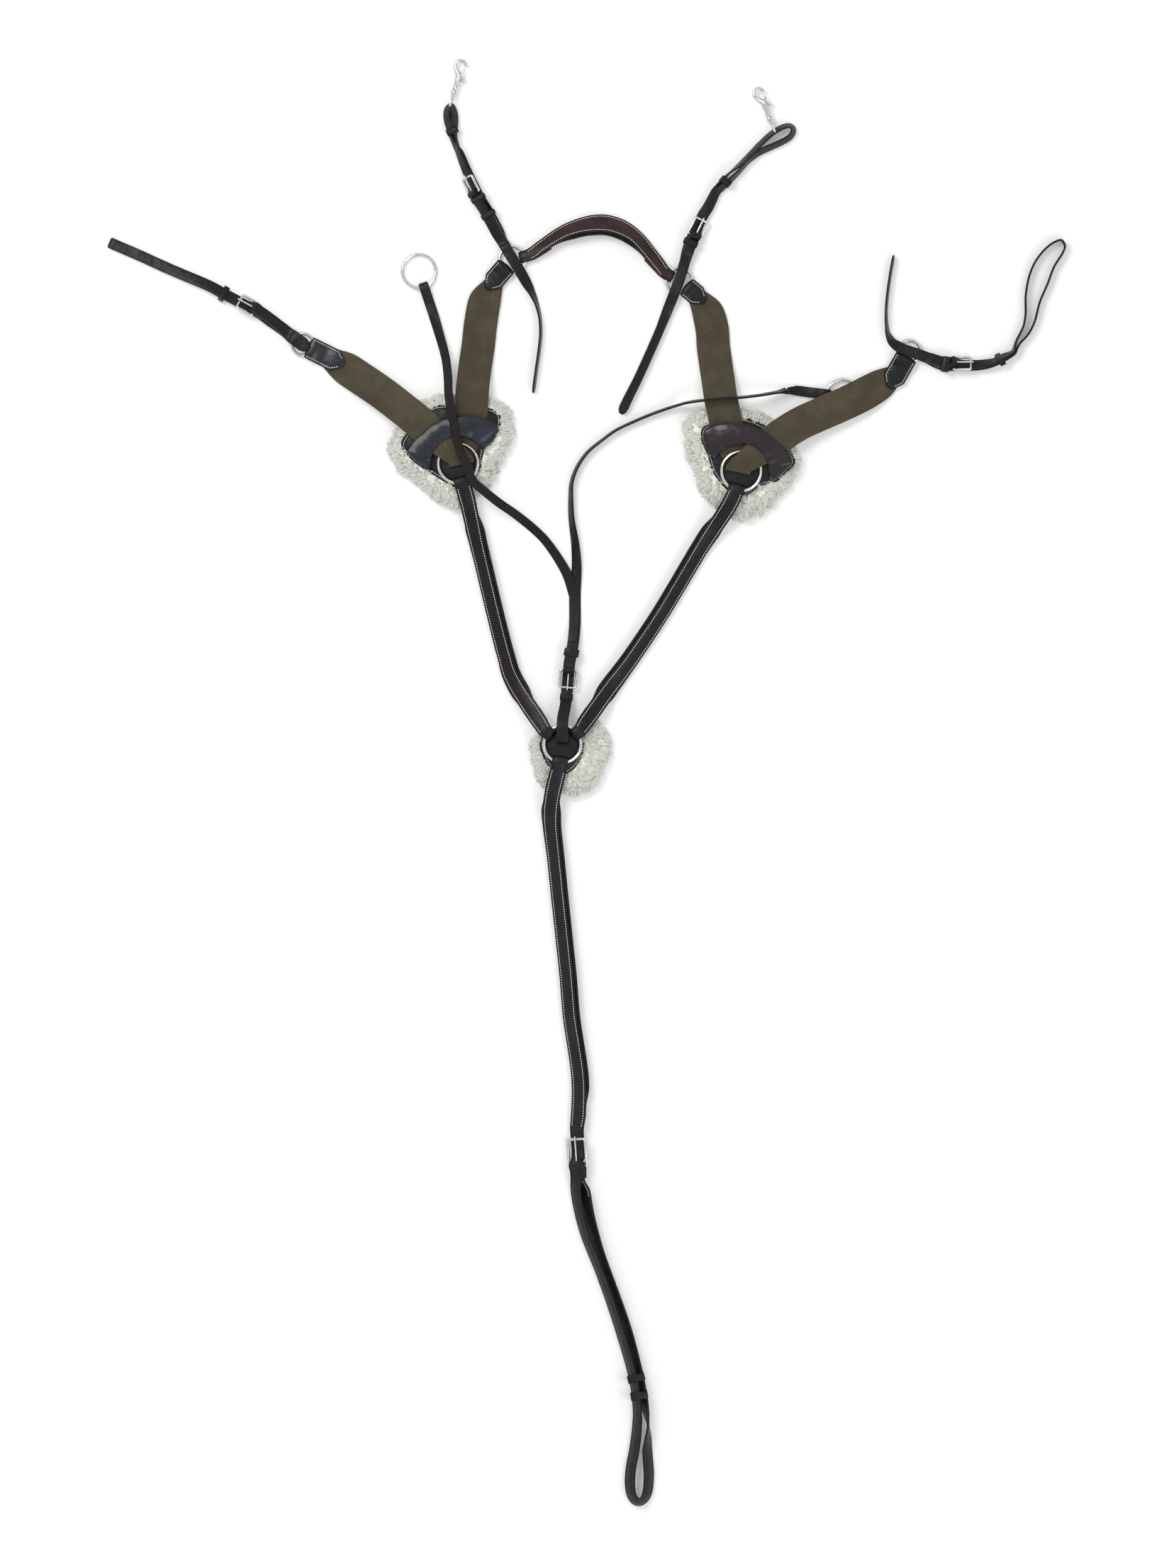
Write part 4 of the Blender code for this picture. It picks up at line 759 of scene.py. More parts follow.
# %% The straps
PADDED = Shape(0.9, 0.5, 2.9)
FLAT = Shape(0.8, 0.12)
SEWN = Shape(0.7, 0.3, 2.6)
strap_looks = {
    "left_chest_strap": (bridle_leather, PADDED, "black_leather"),
    "right_chest_strap": (bridle_leather, PADDED, "black_leather"),
    "girth_strap": (slate_leather, PADDED, "black_leather"),
    "wither_strap": (brown_leather, PADDED, "brown_leather"),
    "left_flank_strap": (black_bridle, FLAT, "black_leather"),
    "right_flank_strap": (black_bridle, FLAT, "black_leather"),
    "left_snap_strap": (black_bridle, FLAT, "black_leather"),
    "right_snap_strap": (black_bridle, FLAT, "black_leather"),
    "martingale_billet": (bridle_leather, FLAT, "black_leather"),
    "left_flank_tab": (patent_slate, SEWN, "patent_leather"),
    "right_flank_tab": (black_bridle, SEWN, "patent_leather"),
    "left_wither_tab": (black_bridle, SEWN, "black_leather"),
    "right_wither_tab": (black_bridle, SEWN, "black_leather"),
}

smooth_runs = {name: smoothed(run) for name, run in shown.items()}
for number, (name, (finish, shape, slot)) in enumerate(strap_looks.items()):
    bm = sweep(smooth_runs[name], shape, 0.12 * MM, number)
    piece = new_piece(name + "_leather", bm, finish, body_of(name), [name])
    print(piece.name, len(piece.data.polygons), "faces")

# %% The fork of the martingale
fork_bands = {
    "fork_right": ("martingale_fork", ["martingale_fork"]),
    "fork_left": ("martingale_left_branch", []),
}
for number, (key, (name, replaced)) in enumerate(fork_bands.items(), 30):
    bm = sweep(smooth_runs[key], FLAT, 0.1 * MM, number)
    piece = new_piece(name + "_leather", bm, bridle_leather, "martingale", replaced)
    print(piece.name, len(piece.data.polygons), "faces")

# %% [markdown]
# ## Arches
#
# A patent arch holds the elastics down over each side ring. It is cut from one piece with the plate under
# it, so its feet widen until they meet the plate's edge. Its sections are taken from the solid, then each
# is widened outward to a little inside the plate's outline.

# %% Outlines of flat pieces
def between(a, b, c, d, t):
    """A number on a smooth curve from b at 0 to c at 1, whose neighbours are a and d."""
    return 0.5 * (2 * b + (c - a) * t + (2 * a - 5 * b + 4 * c - d) * t**2 + (3 * b - 3 * c + d - a) * t**3)


def curve(points, steps, closed=False):
    """A smooth curve through points, each a tuple of numbers."""
    made = []
    count = len(points)
    for i in range(count if closed else count - 1):
        if closed:
            four = [points[(i + k) % count] for k in (-1, 0, 1, 2)]
        else:
            four = [points[min(max(i + k, 0), count - 1)] for k in (-1, 0, 1, 2)]
        for k in range(steps):
            made.append(tuple(between(*numbers, k / steps) for numbers in zip(*four)))
    return made if closed else made + [points[-1]]


def outline_of(node, steps, low=None, high=1.0):
    """A solid's outline at its top or between two heights, as points round its middle, and the middle."""
    bm = merged_copy(node)
    low = max(v.co.z for v in bm.verts) - 0.1 * MM if low is None else low
    rim = [v.co.copy() for v in bm.verts if low < v.co.z < high]
    bm.free()
    middle = sum(rim, Vector()) / len(rim)
    rim.sort(key=lambda p: math.atan2(p.y - middle.y, p.x - middle.x))
    around = curve([tuple(p) for p in rim], steps, closed=True)
    return [Vector(p) for p in around], middle


def sector(x, y):
    """Which of the sixty sectors of six degrees a direction lies in."""
    return round(math.degrees(math.atan2(y, x)) / 6) % 60


def by_sector(rim, middle):
    """How far an outline reaches from a middle, for every six degrees."""
    reach = {}
    for point in rim:
        x, y = point.x - middle.x, point.y - middle.y
        key = sector(x, y)
        reach[key] = max(reach.get(key, 0.0), math.hypot(x, y))
    return reach


print("points round the chest plate:", len(outline_of("chest_pad_leather", 3)[0]))

# %% The arches
ARCH_INNER = 32.5 * MM
ARCH_OUTER = 54.5 * MM
FOOT_FLARE = 15 * MM
FLARE_LENGTH = 48 * MM
INNER_FLARE = 1.5 * MM
INNER_LENGTH = 20 * MM
LIP = 4.2 * MM


def reach_along(rim, centre, spoke):
    """How far an outline lies from a point in a direction."""
    start = centre.xy
    end = start + spoke.xy * 0.3
    hits = [geometry.intersect_line_line_2d(start, end, a.xy, b.xy) for a, b in zip(rim, rim[1:] + rim[:1])]
    return max(((hit - start).length for hit in hits if hit), default=1.0)


def flared_arch(side):
    """The arch's sections with their outer edge widened at the feet and kept inside the plate's outline."""
    low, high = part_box(f"{side}_side_ring")
    ring = (low + high) / 2
    rim, _ = outline_of(f"{side}_side_pad_leather", 3)
    run = smoothed(runs[f"{side}_side_arch"], 1.3 * MM)
    far = distances(run)
    made = []
    for section, at in zip(run, far):
        spoke = Vector((section.place.x - ring.x, section.place.y - ring.y, 0)).normalized()
        end = min(at, far[-1] - at)
        flare = max(0.0, 1 - end / FLARE_LENGTH) ** 0.8 * FOOT_FLARE
        outer = min(ARCH_OUTER + flare, reach_along(rim, ring, spoke) - LIP)
        inner = ARCH_INNER + INNER_FLARE * max(0.0, 1 - end / INNER_LENGTH)
        half = max((outer - inner) / 2, 0.4 * MM)
        middle = Vector((ring.x, ring.y, section.place.z)) + spoke * (inner + half)
        made.append(section._replace(place=middle, half=half))
    return made


for side in ("left", "right"):
    name = f"{side}_side_arch"
    finish = patent_slate if side == "left" else patent_plum
    bm = sweep(flared_arch(side), Shape(0.9, 1.3), 0.5 * MM, 40)
    piece = new_piece(name + "_leather", bm, finish, "root", [name])
    print(piece.name, len(piece.data.polygons), "faces")

# %% [markdown]
# ## Padded linings
#
# The straps that lie on the horse have a lining of soft calf rolled over a strip of felt. It is wider than
# the strap, so a black roll shows along one side where the strap lies tilted. Its profile is a full, soft
# oval with small puckers along it.

# %% The linings
LININGS = ["left_chest_strap_lining", "right_chest_strap_lining", "girth_strap_lining", "wither_strap_lining"]
ROLL_POINTS = 20
ROLL_END = 5 * MM
NARROW_END = 32 * MM


def oval(section):
    """Points round a soft roll as full as its solid."""
    points = []
    for k in range(ROLL_POINTS):
        turn = 2 * math.pi * k / ROLL_POINTS
        a = math.copysign(abs(math.cos(turn)) ** 0.55, math.cos(turn)) * section.half
        b = math.copysign(abs(math.sin(turn)) ** 0.75, math.sin(turn)) * section.thick
        points.append((a, b))
    return points


def lining(run, seed):
    """A puckered roll through the sections, drawn in at both ends."""
    bm, place = tube_grid(len(run), ROLL_POINTS)
    far = distances(run)
    for row, section in enumerate(run):
        end = min(far[row], far[-1] - far[row])
        taper = min(1.0, 0.35 + end / ROLL_END)
        narrow = 0.62 + 0.38 * eased(end, 0.0, NARROW_END)
        for column, (a, b) in enumerate(oval(section)):
            pucker = 1 + 0.1 * noise.noise(Vector((far[row] / (4 * MM), 0.4 if a > 0 else 8.4, seed)))
            co = section.place + section.across * a * narrow * taper ** 0.3 + section.up * b * pucker * taper
            for c in ([0, ROLL_POINTS] if column == 0 else [column]):
                place[row, c].co = co
    close_tube(bm)
    return bm


for number, name in enumerate(LININGS):
    run = smoothed(sections_of(name), 1.6 * MM)
    bm = lining(run, number)
    piece = new_piece(name + "_roll", bm, lining_leather, body_of(name), [name])
    print(piece.name, len(piece.data.polygons), "faces")

# %% [markdown]
# ## Elastics
#
# Each elastic is one band folded through the ring: a narrow leg to the withers under the wire, and one to
# the flank over it. When the flank tab is pulled, only the flank leg stretches. So the band is two pieces
# that meet in the fold: the wither leg stays on the root body, and the flank leg is blended from that body
# to the tab, over the length of the leg.

# %% The elastics
WEBBING = Shape(0.9, 0.1)
STRETCH = {
    "left": ((-0.172, 0.386, 0.02), (-0.262, 0.452, 0.005)),
    "right": ((0.264, 0.371, 0.02), (0.384, 0.433, 0.005)),
}


def split_elastic(side):
    """The sections of the wither leg with the fold, and of the flank leg."""
    run = runs[f"{side}_elastic"]
    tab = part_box(f"{side}_flank_tab")
    flank_end = (tab[0] + tab[1]) / 2
    if (run[0].place - flank_end).length < (run[-1].place - flank_end).length:
        run = run[::-1]
    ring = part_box(f"{side}_side_ring")
    middle = (ring[0] + ring[1]) / 2
    near = [i for i, s in enumerate(run) if (s.place - middle).length < 60 * MM]
    cut = next(i for i in near if run[i].place.z > middle.z + 1.5 * MM) + 2
    return run[: cut + 1], run[cut:]


def without_corners(run, passes=16):
    """The run with its width changing smoothly, so that a taper has no corners."""
    halves = [s.half for s in run]
    for _ in range(passes):
        inner = [(a + 2 * b + c) / 4 for a, b, c in zip(halves, halves[1:], halves[2:])]
        halves = halves[:1] + inner + halves[-1:]
    return [s._replace(half=half) for s, half in zip(run, halves)]


for side in ("left", "right"):
    node = f"{side}_elastic"
    wither_leg, flank_leg = split_elastic(side)
    bm = sweep(without_corners(smoothed(wither_leg, 2 * MM)), WEBBING, 0.2 * MM, 50)
    first = new_piece(node + "_wither_leg", bm, olive_elastic, "root", [node])
    bm = sweep(without_corners(smoothed(flank_leg, 2 * MM)), WEBBING, 0.2 * MM, 51)
    second = new_piece(node + "_flank_leg", bm, olive_elastic, None, [node])
    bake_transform(second, "root", f"{side}_flank_tab", *STRETCH[side])
    print(first.name, len(wither_leg), second.name, len(flank_leg), "sections")

# %% [markdown]
# ## Stitching
#
# The straps are saddle-stitched with about eight stitches to the inch. One stitch is a small flattened bead
# of thread, sunk a little into the leather and leaning a few degrees, so a sphere of two dozen faces is
# enough. A row follows the strap's edge at a fixed inset.

# %% Rows of stitches
STITCH_PITCH = 3.0 * MM
STITCH_LENGTH = 2.35 * MM
STITCH_WIDTH = 1.05 * MM
STITCH_LEAN = math.radians(10)
STITCH_SINK = 0.1 * MM


def add_stitch(bm, place, along, up):
    """One bead of thread lying along a line, leaning a little."""
    along = (along - up * along.dot(up)).normalized()
    side = up.cross(along)
    lean = Matrix.Rotation(STITCH_LEAN, 3, "Z").to_4x4()
    turn = Matrix((along, side, up)).transposed().to_4x4() @ lean
    size = Matrix.Diagonal((STITCH_LENGTH, STITCH_WIDTH, STITCH_WIDTH * 0.8, 1))
    seat = Matrix.Translation(place) @ turn @ size
    bmesh.ops.create_uvsphere(bm, u_segments=6, v_segments=4, radius=0.5, matrix=seat)


def stitch_line(bm, points):
    """Stitches at an even pitch along points (place, up)."""
    gaps = [(b[0] - a[0]).length for a, b in zip(points, points[1:])]
    total = sum(gaps)
    count = max(2, round(total / STITCH_PITCH))
    far, i = 0.0, 0
    for k in range(count):
        wanted = (k + 0.5) * total / count
        while i < len(gaps) - 1 and far + gaps[i] < wanted:
            far += gaps[i]
            i += 1
        share = (wanted - far) / gaps[i]
        (a, up_a), (b, up_b) = points[i], points[i + 1]
        add_stitch(bm, a.lerp(b, share), (b - a), up_a.lerp(up_b, share).normalized())
    return count


# %% Where the rows run
def stretch(run, test, margin=0.0):
    """The longest unbroken part of a run whose sections pass a test, less a margin at both ends."""
    best, part = [], []
    for section in run:
        part = part + [section] if test(section) else []
        best = part if len(part) > len(best) else best
    far = distances(best)
    return [s for s, at in zip(best, far) if margin <= at <= far[-1] - margin]


def row_on(part, inset, sign):
    """Points of a row that lies inset from one edge of a strap."""
    sunk = STITCH_SINK
    return [(s.place + s.across * sign * (s.half - inset) + s.up * (s.thick - sunk), s.up) for s in part]


def stitched(name, body, rows):
    """One piece of all the stitches in these rows."""
    bm = bmesh.new()
    count = sum(stitch_line(bm, row) for row in rows if len(row) > 2)
    new_piece(name, bm, waxed_thread, body)
    print(name, count, "stitches")


def two_rows(part, inset):
    """A row along both edges of a strap, its inset in millimetres."""
    return [row_on(part, inset * MM, 1), row_on(part, inset * MM, -1)]


def within(x0, x1, y0, y1):
    """A test for the upper face of a strap inside a rectangle on the floor, in millimetres."""
    return lambda s: s.up.z > 0.3 and x0 < s.place.x / MM < x1 and y0 < s.place.y / MM < y1


# %% The stitched rows
ANYWHERE = within(-9e3, 9e3, -9e3, 9e3)
for name in ("left_chest_strap", "right_chest_strap", "wither_strap"):
    stitched(name + "_stitches", "root", two_rows(stretch(smooth_runs[name], ANYWHERE, 10 * MM), 2.9))
for name in ("left_flank_tab", "right_flank_tab", "left_wither_tab", "right_wither_tab"):
    stitched(name + "_stitches", body_of(name), two_rows(stretch(smooth_runs[name], ANYWHERE, 3 * MM), 2.6))
girth_top = stretch(smooth_runs["girth_strap"], within(-60, 80, -458, -31))
chape = [s for s in smooth_runs["girth_strap"] if s.up.z < -0.5 and -0.545 < s.place.y < -0.505]
chape = [s._replace(up=-s.up) for s in chape]
stitched("girth_strap_stitches", "girth", two_rows(girth_top, 2.9) + two_rows(chape, 2.2))
fork_top = stretch(smooth_runs["fork_right"], within(-9, 40, 112, 130))
right_end = stretch(smooth_runs["fork_right"], within(274, 306, 400, 440))
left_end = stretch(smooth_runs["fork_left"], within(-180, -140, 508, 545))
fork_rows = two_rows(fork_top, 2.0) + two_rows(right_end, 2.0) + two_rows(left_end, 2.0)
stitched("martingale_stitches", "martingale", fork_rows)
short_rows = {"left_flank": (-356, -316, 478, 514), "right_flank": (428, 456, 440, 476),
              "left_snap": (-100, -60, 590, 640), "right_snap": (135, 165, 560, 600)}
for name, area in short_rows.items():
    part = stretch(smooth_runs[name + "_strap"], within(*area))
    stitched(name + "_strap_stitches", body_of(name + "_strap"), two_rows(part, 2.0))

# %% [markdown]
# ## Rings
#
# The rings are bent from round stainless bar, welded and polished. A circle spun about the ring's axis
# makes the whole bar at once. Its size is read from the solid: half its height is the bar's radius.

# %% The rings
def spun_ring(centre, radius, wire):
    """A circle of bar spun about the axis of its ring."""
    bm = bmesh.new()
    turn = Matrix.Translation(centre + Vector((radius, 0, 0))) @ Matrix.Rotation(math.radians(90), 4, "X")
    bmesh.ops.create_circle(bm, segments=16, radius=wire, matrix=turn)
    bmesh.ops.spin(
        bm, geom=bm.verts[:] + bm.edges[:], cent=centre, axis=UP, angle=2 * math.pi, steps=72, use_merge=True
    )
    bmesh.ops.remove_doubles(bm, verts=bm.verts, dist=0.005 * MM)
    bmesh.ops.recalc_face_normals(bm, faces=bm.faces)
    return bm


for name in sorted(n for n in nodes if n.endswith("_ring")):
    low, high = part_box(name)
    wire = (high.z - low.z) / 2
    radius = (high.x - low.x) / 2 - wire * math.cos(math.radians(30))
    bm = spun_ring((low + high) / 2, radius, wire)
    new_piece(name + "_polished", bm, polished_steel, body_of(name), [name])
print("rings:", len([n for n in nodes if n.endswith("_ring")]))

# %% [markdown]
# ## Buckles
#
# A harness buckle is one frame of round bar and a tongue curled round its rear bar. The seat of each is
# known from its joint: the tongue turns about the rear bar. The frame is a closed rod with four round
# corners, and the tongue an open rod that is rolled into an eye and drawn out thin at its tip.

# %% Rods
def rod(points, radii, normal, closed=False, columns=12):
    """A round rod through points, bent mostly in the plane of a normal."""
    rows = len(points) + (1 if closed else 0)
    bm, place = tube_grid(rows, columns)
    last = len(points) - 1
    for row in range(rows):
        i = row % len(points)
        before = points[i - 1] if closed or i else points[0]
        after = points[(i + 1) % len(points)] if closed or i < last else points[last]
        side = (after - before).normalized().cross(normal).normalized()
        for column in range(columns + 1):
            turn = 2 * math.pi * column / columns
            place[row, column].co = points[i] + radii[i] * (side * math.cos(turn) + normal * math.sin(turn))
    close_tube(bm)
    return bm


# %% The seat of a buckle
Seat = namedtuple("Seat", "place along across up")


def seat_rod(seat, stations, normal, **settings):
    """A rod through stations (x, y, z, radius), in millimetres from its seat."""
    points = []
    for x, y, z, _ in stations:
        points.append(seat.place + seat.along * x * MM + seat.across * y * MM + seat.up * z * MM)
    return rod(points, [radius * MM for *_, radius in stations], normal, **settings)


joints = {j["name"]: j for j in frame["joints"]}


def buckle_seat(key):
    """The seat of a buckle, from its tongue's joint and the middle of its frame."""
    joint = joints[f"{key}_tongue_lift"]
    place = Vector(joint["pos_m"])
    bm = merged_copy(f"{key}_buckle")
    middle = sum((v.co for v in bm.verts), Vector()) / len(bm.verts)
    bm.free()
    across = Vector(joint["axis"]).normalized()
    along = middle - place
    along = (along - across * along.dot(across)).normalized()
    up = across.cross(along)
    return Seat(place, along, across if up.z > 0 else -across, up if up.z > 0 else -up)


# %% The buckles and their tongues: strap width, bar radius and length
BUCKLES = {
    "left_flank": (13, 1.5, 21), "right_flank": (13, 1.5, 21), "left_snap": (13, 1.6, 21),
    "right_snap": (13, 1.5, 21), "martingale": (14, 1.7, 21), "girth": (18, 1.9, 32),
}
PLAY = 1.0
TONGUE_BAR = 1.0
TONGUE_GAP = 0.3
for key, (width, bar, length) in BUCKLES.items():
    name = f"{key}_buckle"
    seat = buckle_seat(key)
    half = width / 2 + PLAY + bar
    r = PLAY + bar - 0.2
    outline = []
    corners = ((r, r - half, 180), (length - r, r - half, 270), (length - r, half - r, 0), (r, half - r, 90))
    for x, y, start in corners:
        for turn in range(start, start + 91, 15):
            t = math.radians(turn)
            outline.append((x + r * math.cos(t), y + r * math.sin(t), 0, bar))
    bm = seat_rod(seat, outline, seat.up, closed=True)
    new_piece(name + "_frame", bm, polished_steel, body_of(name), [name])
    eye = bar + TONGUE_GAP + TONGUE_BAR
    curl = [math.radians(turn) for turn in range(-30, -271, -20)]
    path = [(eye * math.cos(turn), eye * math.sin(turn), TONGUE_BAR) for turn in curl]
    path += [(length * 0.5, eye, 1.05), (length, eye, 0.95)]
    path += [(length + 2, eye, 0.85), (length + 3.6, eye - 0.4, 0.6)]
    bm = seat_rod(seat, [(x, 0, z, radius) for x, z, radius in curve(path, 4)], seat.across)
    name += "_tongue"
    new_piece(name + "_rod", bm, polished_steel, body_of(name), [name])
print("buckles:", len(BUCKLES))

# %% [markdown]
# ## Swivel snaps
#
# Each strap from the withers ends in a cast bolt snap: an eye for the strap, a swivel collar, a hook and a
# spring bolt with a thumb knob. They are cast, so their sections change all along: rods with a radius at
# every point.

# %% The snaps
EYE_BAR = 1.4
EYE_SHAPE = [(-17.0, 8.4), (-13.5, 8.4), (-10, 8.2), (-4.5, 5.4), (-0.5, 2.7), (0, 0), (-0.5, -2.7),
             (-4.5, -5.4), (-10, -8.2), (-13.5, -8.4), (-17.0, -8.4), (-17.3, 0)]
HOOK_SHAPE = [(-6.2, 0, 1.2), (-5.9, 0, 2.2), (-4.6, 0, 2.5), (-3.4, 0, 2.2), (-3.0, 0, 1.5),
              (2.7, 0, 1.5), (3.2, 0, 2.6), (9, 0.8, 3.2), (15, 1.1, 4.0), (20, 1.4, 4.2),
              (24.5, -2.0, 3.0), (28.5, -5.0, 2.3), (32.5, -6.3, 2.1), (36.3, -4.9, 2.1),
              (38.6, -1.7, 2.1), (38.7, 1.9, 2.1), (36.6, 4.7, 2.0), (33.6, 5.7, 1.8), (33.0, 5.8, 1.2)]
COLLAR = [(-2.7, 2.9), (-2.5, 3.5), (-2.1, 3.65), (1.9, 3.65), (2.3, 3.5), (2.5, 2.9)]
BOLT_SIDE = 5.0
BOLT = [(13, 0.7), (13.3, 1.1), (14, 1.2), (30, 1.2), (30.7, 1.1), (31, 0.7)]
KNOB_PLACE = 16.5
KNOB = [(0, 0.9), (2, 0.9), (2.4, 1.0), (2.6, 1.9), (3.0, 2.15), (4.2, 2.15), (4.7, 1.9), (4.9, 1.2)]


def snap_seat(side):
    """The middle of the swivel and its two directions, from the joint that it turns in."""
    joint = joints[f"{side}_snap_hook_swivel"]
    low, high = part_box(f"{side}_snap_hook")
    along = Vector(joint["axis"]).normalized()
    place = Vector(joint["pos_m"])
    if along.dot((low + high) / 2 - place) < 0:
        along = -along
    return Seat(place, along, Vector((along.y, -along.x, 0)), UP)


# %% Both snaps
def joined(bm, other):
    """The first mesh with the second one added."""
    mesh = bpy.data.meshes.new("added")
    other.to_mesh(mesh)
    other.free()
    bm.from_mesh(mesh)
    return bm


for side in ("left", "right"):
    seat = snap_seat(side)
    ring = [(x, 0, z, EYE_BAR) for x, z in curve(EYE_SHAPE, 4, closed=True)]
    eye = seat_rod(seat, ring, seat.across, closed=True)
    collar = seat_rod(seat, [(x, 0, 0, radius) for x, radius in COLLAR], UP, columns=24)
    hook = seat_rod(seat, [(x, y, 0, radius) for x, y, radius in curve(HOOK_SHAPE, 5)], UP, columns=20)
    bolt = seat_rod(seat, [(x, BOLT_SIDE, 0, radius) for x, radius in BOLT], UP)
    knob = seat_rod(seat, [(KNOB_PLACE, BOLT_SIDE + y, 0, radius) for y, radius in KNOB], UP, columns=20)
    gate = joined(bolt, knob)
    castings = {"eye": ("cast", joined(eye, collar)), "hook": ("cast", hook), "gate": ("bolt", gate)}
    for part, (ending, bm) in castings.items():
        name = f"{side}_snap_{part}"
        new_piece(f"{name}_{ending}", bm, polished_steel, name, [name])
print("snaps: 2")

# %% [markdown]
# ## Keepers
#
# A keeper is a short sleeve of leather round a strap and its point. Its solid has the right shape, so a
# copy of it is merged, cleaned and given rounded edges.

# %% The keepers
ROUNDING = 0.45 * MM
for name in sorted(n for n in nodes if "keeper" in n):
    bm = merged_copy(name)
    bmesh.ops.dissolve_limit(bm, angle_limit=math.radians(1), verts=bm.verts, edges=bm.edges)
    edges = bm.edges[:]
    bmesh.ops.bevel(bm, geom=edges, offset=ROUNDING, affect="EDGES", segments=3, profile=0.5, material=-1)
    new_piece(name + "_sleeve", bm, black_bridle, body_of(name), [name])
print("keepers:", len([n for n in nodes if "keeper" in n]))

# %% [markdown]
# Narrower sleeves of the same leather hold the layers of a strap together beside its buckle, and close its
# loop. They are found from a place on the strap: every layer that passes there goes inside.

# %% The narrow sleeves
NEARBY = 9 * MM
LAYER_SPAN = 2.2 * MM
SLEEVE_WALL = 0.9 * MM
SLEEVES = {
    "left_snap_loop": ("left_snap_strap", (635.5, 187), 7.5),
    "left_snap_upper": ("left_snap_strap", (674.5, 281), 5.5),
    "left_snap_lower": ("left_snap_strap", (688, 304), 5.5),
    "right_snap_loop": ("right_snap_strap", (1022, 256), 8.5),
    "right_snap_lower": ("right_snap_strap", (974, 343), 7.0),
    "right_flank_chape": ("right_flank_strap", (1334, 512), 9.0),
    "martingale_lower": ("martingale_billet", (800, 984), 8.0),
}


def from_spot(section, spot):
    """How far a section lies from a spot, seen from above."""
    return (section.place.xy - spot.xy).length


for key, (strap, pixel, length) in SLEEVES.items():
    spot = on_floor(pixel)
    near = [s for s in smooth_runs[strap] if from_spot(s, spot) < NEARBY]
    closest = min(near, key=lambda s: from_spot(s, spot))
    along = closest.across.cross(closest.up)
    along = Vector((along.x, along.y, 0)).normalized()
    side = Vector((-along.y, along.x, 0))
    near = [s for s in near if abs((s.place - spot).dot(along)) < LAYER_SPAN]
    signs = list(itertools.product((-1, 1), (-1, 1)))
    corners = [s.place + s.across * s.half * a + s.up * s.thick * b for s in near for a, b in signs]
    wide = [c.dot(side) for c in corners]
    high = [c.z for c in corners]
    middle = along * spot.dot(along) + side * (max(wide) + min(wide)) / 2 + UP * (max(high) + min(high)) / 2
    half = (max(wide) - min(wide)) / 2 + SLEEVE_WALL
    thick = (max(high) - min(high)) / 2 + SLEEVE_WALL
    ends = [(-0.5, 0.5), (-0.46, 0.1), (0, 0.0), (0.46, 0.1), (0.5, 0.5)]
    run = []
    for t, cut in ends:
        place = middle + along * length * MM * t
        run.append(Section(place, side, UP, half - cut * MM, thick - cut * MM))
    bm = sweep(run, Shape(1.6, 0.1))
    new_piece(f"{key}_narrow_sleeve", bm, black_bridle, body_of(strap), [])
print("narrow sleeves:", len(SLEEVES))

# %% [markdown]
# The billets have punched holes for the tongue. Each is drawn as a small near-black dish with a raised rim set
# into the leather, and its colour is painted shade for the inside of the hole.

# %% The punched holes
HOLES = {
    "left_flank_strap": [(288, 401), (330, 424), (392, 453), (415, 464.5)],
    "girth_strap": [(813.7, 1712), (830, 1775)],
}
CUP = [(2.2, -0.3), (2.1, 0.08), (1.75, 0.16), (1.5, 0.1), (1.35, 0.03)]
HOLE_MOTTLE = 1 * MM
painted_hole_shade, shader = new_material("punched_hole_in_leather", 0.85)
depth = pattern(painted_hole_shade, "ShaderNodeTexNoise", 1 / HOLE_MOTTLE)
# Near-black with a faint mottle: painted shade standing in for the inside of each hole.
hole_shade_colour = ramp(painted_hole_shade, depth.outputs["Fac"], (0.3, "#020202"), (0.7, "#0a0909"))
join(painted_hole_shade, hole_shade_colour, shader.inputs["Base Color"])

for strap, pixels in HOLES.items():
    bm = bmesh.new()
    for pixel in pixels:
        spot = on_floor(pixel)
        near = [s for s in smooth_runs[strap] if from_spot(s, spot) < NEARBY]
        top = max(near, key=lambda s: s.place.z - from_spot(s, spot))
        up = top.up if top.up.z > 0 else -top.up
        turn = Matrix((top.across, up.cross(top.across), up)).transposed().to_4x4()
        seat = Matrix.Translation(top.place + up * top.thick) @ turn @ Matrix.Diagonal((MM, MM, MM, 1))
        ring = None
        for radius, rise in CUP:
            level = seat @ Matrix.Translation((0, 0, rise))
            made = bmesh.ops.create_circle(bm, segments=14, radius=radius, matrix=level)
            edges = list({e for v in made["verts"] for e in v.link_edges})
            if ring:
                bmesh.ops.bridge_loops(bm, edges=ring + edges)
            ring = edges
        bmesh.ops.contextual_create(bm, geom=ring)
    bmesh.ops.holes_fill(bm, edges=[e for e in bm.edges if e.is_boundary], sides=0)
    bmesh.ops.recalc_face_normals(bm, faces=bm.faces)
    new_piece(strap + "_holes", bm, painted_hole_shade, body_of(strap))
print("holes:", sum(len(pixels) for pixels in HOLES.values()))

# %% [markdown]
# ## Leather plates
#
# A plate of stout leather tops each pad. It is cut to an outline, turned down a little over the wool and
# stitched all round. Its outline is read from its solid, smoothed, and drawn in ring by ring: the rings
# rise from the rim.

# %% The plates
PLATE_DROOP = 2.6
DROOP_WIDTH = 13
WAVE_WIDTH = 20
WAVE_LENGTH = 20 * MM
ROW_INSET = 3.35
PLATE_RINGS = [(30, -2.2), (12, -2.2), (3, -2.4), (0.4, -2.3), (0, -1.3), (0.3, -0.45), (1.0, 0.0),
               (2.4, 0.15), (3.1, -0.12), (3.6, -0.15), (4.3, 0.15), (7, 0.25), (12, 0.3), (20, 0.3),
               (28, 0.3)]


